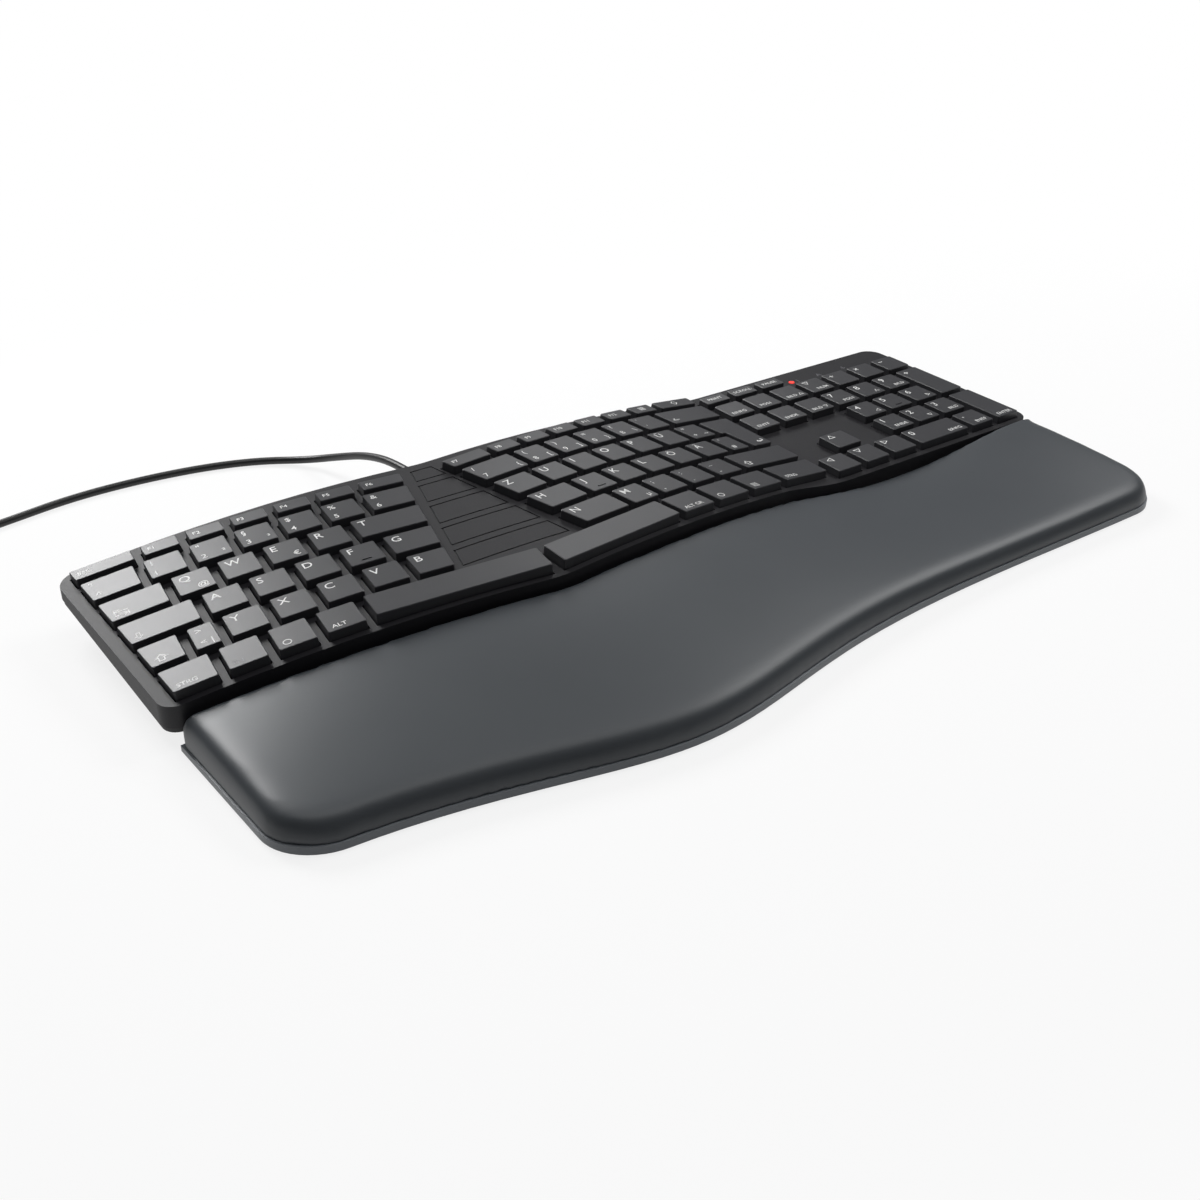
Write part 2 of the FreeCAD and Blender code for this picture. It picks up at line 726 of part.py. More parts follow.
def tile_outline(back, front):
    """One flat tile of the plateau, between the inner ends of the two halves."""
    left = [TILE_LEFT_EDGE + TILE_LEFT_LEAN * (y - TILE_BACKS[0]) for y in (back, front)]
    right = [TILE_RIGHT_EDGE - TILE_RIGHT_LEAN * (y - TILE_BACKS[0]) for y in (back, front)]
    return [at(left[0], back), at(right[0], back), at(right[1], front), at(left[1], front)]


def post_points():
    """Plan point of each screw post, and the height of the post's lower end."""
    points = []
    for place in POST_PLACES:
        x, y = at(*place)
        points.append((x, y, key_height(x, y) - POST_DEPTH))
    return points


def skirt_parting(gap=0.0):
    """All under the slanting lower edge of the cover's side walls."""
    return below_surface(SKIRT_BACK_HEIGHT - TILT_SLOPE * (CASE_DEPTH / 2 - CROWN_Y) + gap,
                         SKIRT_SLOPE, CASE_DEPTH / 2)


def top_cover(planes):
    """Shell with a well for each key, the plateau's tiles, and posts for the screws."""
    shape = case_prism(0, 0, 2 * CROWN_HEIGHT).common(below_surface(FRAME_DROP))
    shape = shape.cut(skirt_parting())
    inner = case_prism(COVER_WALL, -10, 2 * CROWN_HEIGHT).common(below_surface(FRAME_DROP + COVER_PLATE))
    shape = one_solid(shape.cut(inner))
    posts = []
    cuts = [p.block(RIM_INSET - WELL_CLEARANCE, 0, GUIDE_TOP) for p in planes]
    stack = below_surface(GUIDE_TOP)
    for x, y, end in post_points():
        top = key_height(x, y) - FRAME_DROP - COVER_PLATE / 2
        collar = cylinder(POST_COLLAR_RADIUS, V(x, y, end), V(x, y, top)).cut(stack)
        posts.append(one_solid(cylinder(POST_RADIUS, V(x, y, end), V(x, y, top)).fuse(collar)))
        cuts.append(cylinder(POST_PILOT_RADIUS, V(x, y, end - 1), V(x, y, end + SCREW_LENGTH)))
    shape = shape.fuse(posts)
    lx, ly = at(*LENS_PLACE)
    cuts.append(cylinder(LENS_RADIUS + LENS_CLEARANCE, V(lx, ly, 0), V(lx, ly, 2 * CROWN_HEIGHT)))
    grooves = []
    for back, front in zip(TILE_BACKS, TILE_FRONTS):
        outline = tile_outline(back, front)
        ring = polygon_prism(outline, 0, 2 * CROWN_HEIGHT)
        grooves.append(ring.cut(polygon_prism(inset(outline, GROOVE_WIDTH), 0, 2 * CROWN_HEIGHT)))
    floor = below_surface(FRAME_DROP + GROOVE_DEPTH)
    cuts += [g.cut(floor) for g in grooves]
    return one_solid(shape.cut(cuts))


def indicator_lens():
    x, y = at(*LENS_PLACE)
    top = key_height(x, y) - FRAME_DROP + LENS_PROUD
    return cylinder(LENS_RADIUS, V(x, y, top - LENS_LENGTH), V(x, y, top))


# Sheets under the keys

def stack_outline(extra=0.0):
    """Plan polygon of the sheets under the keys, inside the case's walls."""
    points, _ = case_corners()
    sides = [STACK_LEFT_INSET] + [STACK_FRONT_INSET] * 3 + [STACK_RIGHT_INSET] + [STACK_BACK_INSET] * 3
    return inset(points, [s - extra for s in sides])


def cable_notch(extra=0.0):
    """Space that the sheets leave at the back for the cable's gland."""
    half = GLAND_RADIUS + 3.0 - extra
    x, y = at(GLAND_FROM_SPLIT, PAD_BACK_INSET - BACK_DIP - 24.0)
    return polygon_prism([(x - half, y), (x + half, y), (x + half, y + 40), (x - half, y + 40)],
                         -10, 2 * CROWN_HEIGHT)


def post_holes(radius):
    return [cylinder(radius, V(x, y, -10), V(x, y, 2 * CROWN_HEIGHT)) for x, y, _ in post_points()]


def sheet(top, thickness):
    """Arched sheet at a depth under the key tops."""
    shape = polygon_prism(stack_outline(), -10, 2 * CROWN_HEIGHT)
    shape = shape.common(below_surface(top)).cut(below_surface(top + thickness))
    return one_solid(shape.cut([cable_notch()] + post_holes(POST_HOLE_RADIUS)))


def key_guide_plate(planes, stabilisers):
    """Sheet with a square guide chimney for each stem and saddles for the wires."""
    shape = sheet(GUIDE_TOP, GUIDE_THICKNESS)
    outer = STEM_WIDTH + 2 * STEM_CLEARANCE + 2 * CHIMNEY_WALL
    pieces = [p.square(outer, CHIMNEY_TOP, GUIDE_TOP + GUIDE_THICKNESS / 2) for p in planes]
    for s in stabilisers:
        pieces += s.clips()
    bores = [p.square(STEM_WIDTH + 2 * STEM_CLEARANCE, 0, GUIDE_TOP + 3) for p in planes]
    return one_solid(shape.fuse(pieces).cut(bores))


def dome_sheet(planes):
    """Rubber sheet with a hollow dome under each stem."""
    shape = sheet(DOME_BASE, RUBBER_THICKNESS)
    skin = DOME_SKIN
    base = DOME_BASE + RUBBER_THICKNESS / 2
    under = DOME_BASE + RUBBER_THICKNESS + 1
    top = STEM_WIDTH / 2
    domes = [p.round_frustum(DOME_RADIUS, top, base, DOME_TOP) for p in planes]
    hollows = [p.round_frustum(DOME_RADIUS - skin, top - skin, under, DOME_TOP + skin) for p in planes]
    return one_solid(shape.fuse(domes).cut(hollows))


def membrane_spacer_sheet(planes):
    """Spacer with a round window under each dome, where the two contacts meet."""
    shape = sheet(SPACER_TOP, SHEET_THICKNESS)
    radius = DOME_RADIUS - 1
    windows = [p.round_frustum(radius, radius, SPACER_TOP + 2, SPACER_TOP - 2) for p in planes]
    return one_solid(shape.cut(windows))


def tail_block(width, depth, z0, z1):
    x, y = at(*TAIL_PLACE)
    return Part.makeBox(width, depth, z1 - z0, V(x - width / 2, y - depth / 2, z0))


def membrane_bottom_sheet():
    """Lower printed sheet with the tail that drops to the controller board."""
    x, y = at(*TAIL_PLACE)
    shape = sheet(MEMBRANE_BOTTOM, SHEET_THICKNESS)
    top = key_height(x, y) - MEMBRANE_BOTTOM - SHEET_THICKNESS / 2
    reach = 0.05 * TAIL_WIDTH
    low = BOARD_LEVEL + BOARD_THICKNESS + CONNECTOR_HEIGHT
    tail = tail_block(TAIL_WIDTH, SHEET_THICKNESS, low, top + reach)
    tail = tail.common(below_surface(MEMBRANE_BOTTOM + SHEET_THICKNESS / 2))
    return one_solid(shape.fuse(tail))


def backing_plate():
    shape = sheet(PLATE_TOP, PLATE_THICKNESS)
    return one_solid(shape.cut(tail_block(TAIL_WIDTH + 3, 3.0, 0, 2 * CROWN_HEIGHT)))


# Bottom case

def shell_rings(wall):
    """Lower and upper plan polygons of the undercut shell, drawn in by a wall."""
    points, _ = case_corners()
    reach = (SHELL_LEVEL - FLOOR_LEVEL) / (UNDERCUT_TOP_LEVEL - FLOOR_LEVEL)
    left_top = UNDERCUT_LEFT - (UNDERCUT_LEFT - UNDERCUT_TOP) * reach
    right_top = UNDERCUT_RIGHT - (UNDERCUT_RIGHT - UNDERCUT_TOP) * reach
    low = [UNDERCUT_LEFT] + [UNDERCUT_FRONT] * 3 + [UNDERCUT_RIGHT] + [UNDERCUT_BACK] * 3
    high = [left_top] + [UNDERCUT_TOP] * 3 + [right_top] + [UNDERCUT_TOP] * 3
    lower = inset(points, [d + wall for d in low])
    upper = inset(points, [d + wall for d in high])
    return lower, upper


def shell_solid(wall, lift):
    lower, upper = shell_rings(wall)
    rings = [[V(x, y, z + lift) for x, y in ring + ring[:1]]
             for ring, z in ((lower, FLOOR_LEVEL), (upper, SHELL_LEVEL))]
    return Part.makeLoft([Part.makePolygon(ring) for ring in rings], True, True)


def gland_axis_point(y):
    x, yy = at(GLAND_FROM_SPLIT, y)
    return V(x, yy, GLAND_HEIGHT)


def flip_axis(place):
    x, y = at(*place)
    return V(x, y, FLOOR_LEVEL + FLIP_FOOT_THICKNESS / 2 + 0.3)


def flip_pocket(place):
    """Pocket in the floor that holds a folded foot, and the housing over it."""
    a = flip_axis(place)
    half = FLIP_FOOT_WIDTH / 2 + FLIP_CLEARANCE
    round_end = FLIP_FOOT_THICKNESS / 2 + FLIP_ROOM
    z1 = a.z + FLIP_FOOT_THICKNESS / 2 + FLIP_ROOM
    y0 = a.y - FLIP_FOOT_LENGTH - FLIP_CLEARANCE
    y1 = a.y + round_end
    pocket = Part.makeBox(2 * half, y1 - y0, z1 - FLOOR_LEVEL + 5, V(a.x - half, y0, FLOOR_LEVEL - 5))
    wall = BOTTOM_WALL
    housing = Part.makeBox(2 * half + 2 * wall, y1 - y0 + 2 * wall, z1 + 1.4 - FLOOR_LEVEL,
                           V(a.x - half - wall, y0 - wall, FLOOR_LEVEL))
    reach = FLIP_FOOT_WIDTH / 2 + FLIP_PIN_LENGTH + 0.3
    bore = cylinder(FLIP_PIN_RADIUS + FLIP_PIN_CLEARANCE, a - V(reach, 0, 0), a + V(reach, 0, 0))
    return pocket, housing, bore


def flip_foot(place):
    """Folding foot: a slab with a rounded root and a pin at each side."""
    a = flip_axis(place)
    half = FLIP_FOOT_WIDTH / 2
    r = FLIP_FOOT_THICKNESS / 2
    root = cylinder(r, a - V(half, 0, 0), a + V(half, 0, 0))
    slab = Part.makeBox(2 * half, FLIP_FOOT_LENGTH, 2 * r, V(a.x - half, a.y - FLIP_FOOT_LENGTH, a.z - r))
    reach = half + FLIP_PIN_LENGTH
    pins = cylinder(FLIP_PIN_RADIUS, a - V(reach, 0, 0), a + V(reach, 0, 0))
    return one_solid(root.fuse([slab, pins]).removeSplitter())


def board_origin():
    x, y = at(*TAIL_PLACE)
    return x - BOARD_SIZE[0] * 0.55, y - BOARD_SIZE[1] * 0.4


def board_pins(radius, z0, z1):
    x, y = board_origin()
    w, d = BOARD_SIZE
    places = [(x + 4, y + 4), (x + w - 4, y + 4), (x + w - 4, y + d - 4), (x + 4, y + d - 4)]
    return [cylinder(radius, V(px, py, z0), V(px, py, z1)) for px, py in places]


def bottom_case(edge_keys):
    """Undercut tray: sloping walls, a ledge under the cover's skirt, bosses and pockets."""
    parting = skirt_parting(BOTTOM_GAP)
    ledge = parting.cut(skirt_parting(BOTTOM_GAP + BOTTOM_WALL))
    body = case_prism(0.6, 0, 2 * CROWN_HEIGHT)
    outer = shell_solid(0, 0).fuse(ledge).common(body).common(parting)
    floor_cut = polygon_prism(stack_outline(20), -30, FLOOR_LEVEL)
    outer = one_solid(outer.cut(floor_cut))
    inner = shell_solid(BOTTOM_WALL, BOTTOM_WALL)
    shape = outer.cut(inner)
    stack = polygon_prism(stack_outline(STACK_CLEARANCE), 0, 2 * CROWN_HEIGHT)
    stack = stack.cut(below_surface(STACK_BOTTOM + STACK_CLEARANCE))
    housings = []
    # The back wall keeps clear of the pressed keys beside it, and of their chimneys and domes
    pressed = CAP_HEIGHT + KEY_TRAVEL + EDGE_ROOM
    reach = DOME_RADIUS + EDGE_ROOM
    dome_foot = DOME_BASE + RUBBER_THICKNESS
    cuts = [stack]
    cuts += [p.block(RIM_INSET - EDGE_ROOM, 0, pressed) for p in edge_keys]
    cuts += [p.round_frustum(reach, reach, dome_foot, CHIMNEY_TOP) for p in edge_keys]
    adds = board_pins(BOARD_BOSS_RADIUS, FLOOR_LEVEL, BOARD_LEVEL)
    adds += board_pins(BOARD_PIN_RADIUS, FLOOR_LEVEL, BOARD_LEVEL + BOARD_THICKNESS + 1)
    seats = []
    for x, y, end in post_points():
        top = key_height(x, y)
        seat = cylinder(POST_COLLAR_RADIUS, V(x, y, end - SCREW_SEAT), V(x, y, top))
        shank_hole = cylinder(SCREW_SHANK_RADIUS + SCREW_CLEARANCE, V(x, y, 0), V(x, y, end + 1))
        seats.append(seat.cut([cylinder(POST_HOLE_RADIUS, V(x, y, end), V(x, y, top)), shank_hole]))
        adds.append(cylinder(POST_BOSS_RADIUS, V(x, y, FLOOR_LEVEL), V(x, y, end)))
        cuts.append(shank_hole)
        cuts.append(cylinder(SCREW_HEAD_RADIUS + SCREW_CLEARANCE, V(x, y, 0), V(x, y, end - SCREW_SEAT)))
    room = below_surface(STACK_BOTTOM)
    seats = [seat.common(room) for seat in seats]
    for place in FLIP_PLACES:
        pocket, housing, bore = flip_pocket(place)
        housings.append(housing)
        cuts += [pocket, bore]
    a, b = gland_axis_point(GLAND_BORE_START), gland_axis_point(GLAND_BORE_END)
    cuts.append(cylinder(GLAND_RADIUS + 0.1, a, b))
    cuts += [tongue(xi, TONGUE_CLEARANCE) for xi in TONGUE_PLACES]
    shape = shape.fuse(adds + housings).cut(cuts)
    return one_solid(shape.fuse(seats))


# Palm rest

def rest_line(xi):
    """Y of the case's front where the palm rest begins, before its bends are rounded."""
    return min(front_line(xi), PAD_FRONT) if xi > 0 else front_line(xi)


def tongue(xi, clearance=0.0):
    """Tongue of the palm rest's base that goes through a window in the case's front wall."""
    x, y = at(xi, rest_line(xi))
    half = TONGUE_WIDTH / 2 + clearance
    start = y - REST_GAP - RIM_WALL
    length = REST_GAP + RIM_WALL + UNDERCUT_FRONT + BOTTOM_WALL + 3 * TONGUE_CLEARANCE + 2 * clearance
    length += TONGUE_REACH
    return Part.makeBox(2 * half, length, TONGUE_HEIGHT + clearance, V(x - half, start, TONGUE_LEVEL))


def rest_outline_wire(distance, z=0.0):
    """Plan outline of the palm rest: the case's front line behind, a long wave in front."""
    gap = REST_GAP + distance
    left = -CASE_LEFT_FROM_SPLIT + REST_END_INSET + distance
    right = CASE_WIDTH - CASE_LEFT_FROM_SPLIT - REST_END_INSET - distance
    slope = math.tan(math.radians(HALF_ANGLE))
    lean = gap / math.cos(math.radians(HALF_ANGLE))
    meet = (PAD_FRONT - gap - front_line(0) + lean) / slope
    nose = V(*at(0, front_line(0) - lean), z)
    bend = FRONT_BEND_RADIUS * math.tan(math.radians(HALF_ANGLE / 2))
    turn_nose = FRONT_BEND_RADIUS + gap
    reach = turn_nose * math.tan(math.radians(HALF_ANGLE))
    rear = [
        V(*at(left, front_line(left) - lean), z),
        V(*at(-reach, front_line(reach) - lean), z),
        V(*at(0, front_line(0) - lean + turn_nose * (1 / math.cos(math.radians(HALF_ANGLE)) - 1)), z),
        V(*at(reach, front_line(reach) - lean), z),
        V(*at(meet - bend, front_line(meet - bend) - lean), z),
        V(*at(meet + bend, PAD_FRONT - gap), z),
        V(*at(right, PAD_FRONT - gap), z),
    ]
    middle = V(*at(meet, PAD_FRONT - gap - bend * math.tan(math.radians(HALF_ANGLE / 2)) / 2), z)
    r = max(REST_CORNER_RADIUS - distance, 4.0)
    front = [V(*at(xi, y + distance), z) for xi, y in PALM_FRONT]
    left_x, right_x = at(left, 0)[0], at(right, 0)[0]
    curve = Part.BSplineCurve()
    curve.interpolate([V(left_x + r, front[0].y, z)] + front[1:-1] + [V(right_x - r, front[-1].y, z)])
    first, last = curve.getPole(1), curve.getPole(curve.NbPoles)
    left_end = V(left_x, first.y + r, z)
    right_end = V(right_x, last.y + r, z)
    edges = [Part.makeLine(rear[0], left_end)]
    edges += biarc(left_end, V(0, -1, 0), first, curve.tangent(curve.FirstParameter)[0])
    edges.append(curve.toShape())
    edges += biarc(last, curve.tangent(curve.LastParameter)[0], right_end, V(0, 1, 0))
    edges.append(Part.makeLine(right_end, rear[6]))
    edges.append(Part.makeLine(rear[6], rear[5]))
    edges.append(Part.Arc(rear[5], middle, rear[4]).toShape())
    edges.append(Part.makeLine(rear[4], rear[3]))
    edges.append(Part.Arc(rear[3], V(nose.x, rear[2].y, z), rear[1]).toShape())
    edges.append(Part.makeLine(rear[1], rear[0]))
    return Part.Wire(edges)


def biarc(p0, t0, p1, t1):
    """Two tangent arcs from a point and heading to another point and heading."""
    t0, t1 = V(t0).normalize(), V(t1).normalize()
    v = p1 - p0
    t = t0 + t1
    a = 2 * (1 - t0.dot(t1))
    b = 2 * v.dot(t)
    c = -v.dot(v)
    d = -c / b if abs(a) < 1e-9 else (-b + math.sqrt(b * b - 4 * a * c)) / (2 * a)
    joint = (p0 + t0 * d + p1 - t1 * d) * 0.5
    return [tangent_arc(p0, t0, joint), tangent_arc(joint, joint - (p0 + t0 * d), p1)]


def tangent_arc(start, heading, end):
    """Arc that leaves a point along a heading and ends at another point."""
    heading = V(heading).normalize()
    chord = end - start
    side = chord - heading * chord.dot(heading)
    if side.Length < 1e-7:
        return Part.makeLine(start, end)
    side.normalize()
    radius = chord.dot(chord) / (2 * chord.dot(side))
    centre = start + side * radius
    out = ((start + end) * 0.5 - centre)
    if chord.dot(heading) < 0:
        out = -out
    if out.Length < 1e-7:
        out = heading
    return Part.Arc(start, centre + out.normalize() * radius, end).toShape()


def rest_rear(xi):
    """Height of the pad's top line at the case."""
    return key_height(*at(xi, rest_line(xi))) - PAD_REAR_DROP


def rest_form(drop, crown, front_height):
    """Solid under a surface that runs from the case's front line down to the front edge."""
    sections = []
    low = -CROWN_HEIGHT
    for xi in REST_STATIONS:
        x, rear_y = at(xi, REST_BACK)
        front_y = rear_y - REST_SPAN
        start = rear_y - at(xi, rest_line(xi))[1]
        lifts = [4 * crown * t * (1 - t) for t in (start / REST_SPAN, (start + PAD_REACH) / REST_SPAN)]
        slope = (rest_rear(xi) - drop - lifts[0] - front_height + lifts[1]) / PAD_REACH
        z_rear = rest_rear(xi) - drop - lifts[0] + slope * start
        a, b = V(x, rear_y, z_rear), V(x, front_y, z_rear - slope * REST_SPAN)
        if crown:
            top = Part.Arc(a, (a + b) * 0.5 + V(0, 0, crown), b).toShape()
        else:
            top = Part.makeLine(a, b)
        edges = [top, Part.makeLine(b, V(x, front_y, low)),
                 Part.makeLine(V(x, front_y, low), V(x, rear_y, low)), Part.makeLine(V(x, rear_y, low), a)]
        sections.append(Part.Wire(edges))
    return Part.makeLoft(sections, True, False)


def palm_rest_pad():
    """Soft pad: crowned top, rolled front edge and drawn-in ends."""
    body = prism(rest_outline_wire(PAD_LEDGE), 0, 2 * CROWN_HEIGHT)
    body = body.common(rest_form(0.0, PAD_CROWN, PAD_FRONT_HEIGHT))
    body = one_solid(body.cut(rest_form(PAD_THICKNESS - PAD_CLEARANCE, 0.0, RIM_HEIGHT + PAD_CLEARANCE)))
    rolled = body.makeFillet(PAD_FRONT_ROLL, pad_top_edges(body, True))
    return one_solid(rolled.makeFillet(PAD_REAR_ROLL, pad_top_edges(rolled, False)))


def pad_top_edges(body, front):
    """Edges round the pad's top: its front and ends, or its rear."""
    found = []
    for edge in body.Edges:
        middle = edge.valueAt(0.5 * (edge.FirstParameter + edge.LastParameter))
        ends = [v.Point for v in edge.Vertexes]
        upright = max(abs(p.x - middle.x) + abs(p.y - middle.y) for p in ends) < 0.01
        xi, y = middle.x - SPLIT_X, middle.y - ROW_LINE_Y
        rear = y > rest_line(xi) - 4.0
        least = PAD_FRONT_HEIGHT - 4.0
        if rear:
            least = max(least, rest_rear(xi) - PAD_THICKNESS + 4)
        if middle.z > least and not upright and rear != front:
            found.append(edge)
    return found


def palm_rest_base():
    """Rigid shell under the pad, open below, with a low rim in front."""
    body = prism(rest_outline_wire(0.0), REST_FOOT_GAP, 2 * CROWN_HEIGHT)
    body = body.common(rest_form(PAD_THICKNESS, 0.0, RIM_HEIGHT))
    hollow = prism(rest_outline_wire(RIM_WALL), -5, 2 * CROWN_HEIGHT)
    hollow = hollow.common(rest_form(PAD_THICKNESS + RIM_WALL, 0.0, RIM_HEIGHT - RIM_WALL))
    bosses = []
    for place in REST_FOOT_PLACES:
        x, y = at(*place)
        bosses.append(cylinder(REST_BOSS_RADIUS, V(x, y, REST_FOOT_GAP), V(x, y, 2 * CROWN_HEIGHT)))
    hollow = hollow.cut(bosses)
    return one_solid(body.cut(hollow).fuse([tongue(xi) for xi in TONGUE_PLACES]))


# Cable

def rounded_path(points):
    """Straight runs joined by tangent arcs, and the radius at each inner point."""
    edges = []
    radii = []
    start = points[0]
    for i in range(1, len(points) - 1):
        a, b, c = points[i - 1], points[i], points[i + 1]
        u, w = (a - b).normalize(), (c - b).normalize()
        turn = math.pi - u.getAngle(w)
        reach = 0.45 * min((a - b).Length, (c - b).Length)
        radius = reach / math.tan(turn / 2)
        half = (math.pi - turn) / 2
        tip = b + (u + w).normalize() * (radius / math.sin(half) - radius)
        edges.append(Part.makeLine(start, b + u * reach))
        edges.append(Part.Arc(b + u * reach, tip, b + w * reach).toShape())
        start = b + w * reach
        radii.append(radius)
    edges.append(Part.makeLine(start, points[-1]))
    return Part.Wire(edges), radii


def tube(wire, name):
    """Round tube along a wire, with its volume checked against its length."""
    first = wire.Edges[0]
    start = first.valueAt(first.FirstParameter)
    heading = first.tangentAt(first.FirstParameter)
    section = Part.Wire(Part.makeCircle(CABLE_DIAMETER / 2, start, heading))
    shell = Part.BRepOffsetAPI.MakePipeShell(wire)
    shell.add(section, False, False)
    shell.build()
    shell.makeSolid()
    solid = one_solid(Part.Shape(shell.shape()))
    ideal = math.pi * CABLE_DIAMETER ** 2 / 4 * wire.Length
    print("%s: length %.0f mm, volume %.4f of section times length" % (name, wire.Length, solid.Volume / ideal))
    return solid


def cable_route():
    """Free stretch from the gland to the coil: off the back, down to the desk, then left."""
    end = COIL_CENTRE[1] + COIL_FIRST_RADIUS
    places = [
        (GLAND_FROM_SPLIT, GLAND_REACH, GLAND_HEIGHT),
        (GLAND_FROM_SPLIT, 34.0, GLAND_HEIGHT),
        (GLAND_FROM_SPLIT - 0.6, 60.0, 19.6),
        (GLAND_FROM_SPLIT - 2.6, 86.0, 10.4),
        (0.0, 108.0, LIE + 1.0),
        (-19.0, 124.0, LIE),
        (-45.0, 133.0, LIE),
        (-78.0, 137.5, LIE),
        (-112.0, 137.0, LIE),
        (-144.0, 130.0, LIE),
        (-172.0, end, LIE),
        (COIL_CENTRE[0] + CABLE_DIAMETER, end, LIE),
    ]
    return [V(*at(xi, y), z) for xi, y, z in places]


def coil_points():
    """Ends of the coil's half turns: in on the desk, a climb, then out on top."""
    pitch = CABLE_DIAMETER + COIL_GAP
    radii = [COIL_FIRST_RADIUS - 0.5 * pitch * k for k in range(COIL_HALF_TURNS_IN + 2)]
    levels = [LIE] * (COIL_HALF_TURNS_IN + 1) + [LIE + pitch]
    radius = radii[-1] + pitch
    for k in range(COIL_HALF_TURNS_OUT):
        radii.append(radius)
        levels.append(LIE + pitch)
        radius += 0.5 * pitch
    cx, cy = at(*COIL_CENTRE)
    return [V(cx, cy + (-1) ** k * r, z) for k, (r, z) in enumerate(zip(radii, levels))]


def coil_wire():
    """The coil's centre line, straight for one diameter at each end."""
    points = coil_points()
    edges = [Part.makeLine(points[0] + V(CABLE_DIAMETER, 0, 0), points[0])]
    for k in range(len(points) - 1):
        heading = V(-1, 0, 0) if k % 2 == 0 else V(1, 0, 0)
        edges += biarc(points[k], heading, points[k + 1], -heading)
    last = points[-1]
    heading = V(-1, 0, 0) if (len(points) - 1) % 2 == 0 else V(1, 0, 0)
    cx, cy = at(*COIL_CENTRE)
    r = abs(last.y - cy)
    side = V(cx + heading.x * (r + 1), cy, last.z)
    down = V(0, -1 if last.y > cy else 1, 0)
    quarter = biarc(last, heading, side, down)
    edges += quarter
    edges.append(Part.makeLine(side, side + down * CABLE_DIAMETER))
    return Part.Wire(edges)


def least_gap(wire):
    """Least distance between turns of a wound tube, measured on points."""
    step = 2.5
    count = int(wire.Length / step)
    points = wire.discretize(count + 1)
    near = int(3 * CABLE_DIAMETER / step) + 1
    total = len(points)
    least = min((points[i] - points[j]).Length for i in range(total) for j in range(i + near, total))
    return least - CABLE_DIAMETER


def tail_route():
    """Free stretch from the coil down to the plug."""
    start = coil_wire().Vertexes[-1].Point
    sink = PLUG_HEIGHT / 2 - start.z
    steps = [(0, 0, 0), (0.0, -16.0, 0), (1.0, -32.0, -1.0), (4.5, -50.0, sink), (7.5, -67.0, sink)]
    return [start + V(*s) for s in steps]


def plug_frame():
    """Where the plug begins and which way it points."""
    route = tail_route()
    return route[-1], (route[-1] - route[-2]).normalize()


def box_along(start, heading, length, width, height):
    """Box along a level heading, centred on its start."""
    side = V(-heading.y, heading.x, 0) * (width / 2)
    up = V(0, 0, height / 2)
    ring = [start + side * s + up * t for s, t in ((-1, -1), (1, -1), (1, 1), (-1, 1))]
    return solid_between(ring, [p + heading * length for p in ring])


def gland():
    """Strain relief: a collar inside the wall and a tapering boot outside."""
    a = gland_axis_point
    y_wall = PAD_BACK_INSET - BACK_DIP - 4.0
    collar = cylinder(GLAND_RADIUS + 1.6, a(y_wall - 5.0), a(y_wall - 2.6))
    neck = cylinder(GLAND_RADIUS, a(y_wall - 5.0), a(y_wall + 4.5))
    start = a(y_wall + 4.5)
    boot = Part.makeCone(GLAND_RADIUS, CABLE_DIAMETER / 2 + 0.6, a(GLAND_REACH).y - start.y, start, V(0, 1, 0))
    return one_solid(collar.fuse([neck, boot]).removeSplitter())


def inner_lead():
    """Lead inside the case, from the gland down to the controller board."""
    a = gland_axis_point(PAD_BACK_INSET - BACK_DIP - 9.0)
    x, y = board_origin()
    stop = V(x + 10.0, y + BOARD_SIZE[1] - 5.0, BOARD_LEVEL + BOARD_THICKNESS)
    points = [a, a + V(0, -6, 0), a + V(2, -13, -6), stop + V(0, 0, 10), stop]
    wire, _ = rounded_path(points)
    return tube(wire, "inner_lead")


def case_screws():
    """Screws that hold the bottom case to the cover's posts."""
    screws = []
    for x, y, end in post_points():
        seat = end - SCREW_SEAT
        head = cylinder(SCREW_HEAD_RADIUS, V(x, y, seat - SCREW_HEAD_HEIGHT), V(x, y, seat))
        shank = cylinder(SCREW_SHANK_RADIUS, V(x, y, seat), V(x, y, seat + SCREW_LENGTH))
        screws.append(one_solid(head.fuse(shank)))
    return screws


def rubber_feet():
    """Round pads: under the bottom case, and under the palm rest's front."""
    feet = []
    for place in FOOT_PLACES:
        feet.append(cylinder(RUBBER_FOOT_RADIUS, V(*at(*place), 0), V(*at(*place), FLOOR_LEVEL)))
    for place in REST_FOOT_PLACES:
        feet.append(cylinder(REST_FOOT_RADIUS, V(*at(*place), 0), V(*at(*place), REST_FOOT_GAP)))
    return feet


def controller_board():
    """Circuit board on its four pins."""
    x, y = board_origin()
    board = Part.makeBox(BOARD_SIZE[0], BOARD_SIZE[1], BOARD_THICKNESS, V(x, y, BOARD_LEVEL))
    holes = board_pins(BOARD_PIN_RADIUS + 0.15, BOARD_LEVEL - 1, BOARD_LEVEL + BOARD_THICKNESS + 1)
    return one_solid(board.cut(holes))


def board_components():
    """Tail connector, controller chip and crystal on the board."""
    x, y = board_origin()
    top = BOARD_LEVEL + BOARD_THICKNESS
    connector = tail_block(TAIL_WIDTH + 3, CONNECTOR_DEPTH, top, top + CONNECTOR_HEIGHT)
    chip = Part.makeBox(9, 7, 1.4, V(x + 22, y + BOARD_SIZE[1] - 9, top))
    crystal = Part.makeBox(7, 3, 2.2, V(x + 36, y + BOARD_SIZE[1] - 7, top))
    return [connector, chip, crystal]


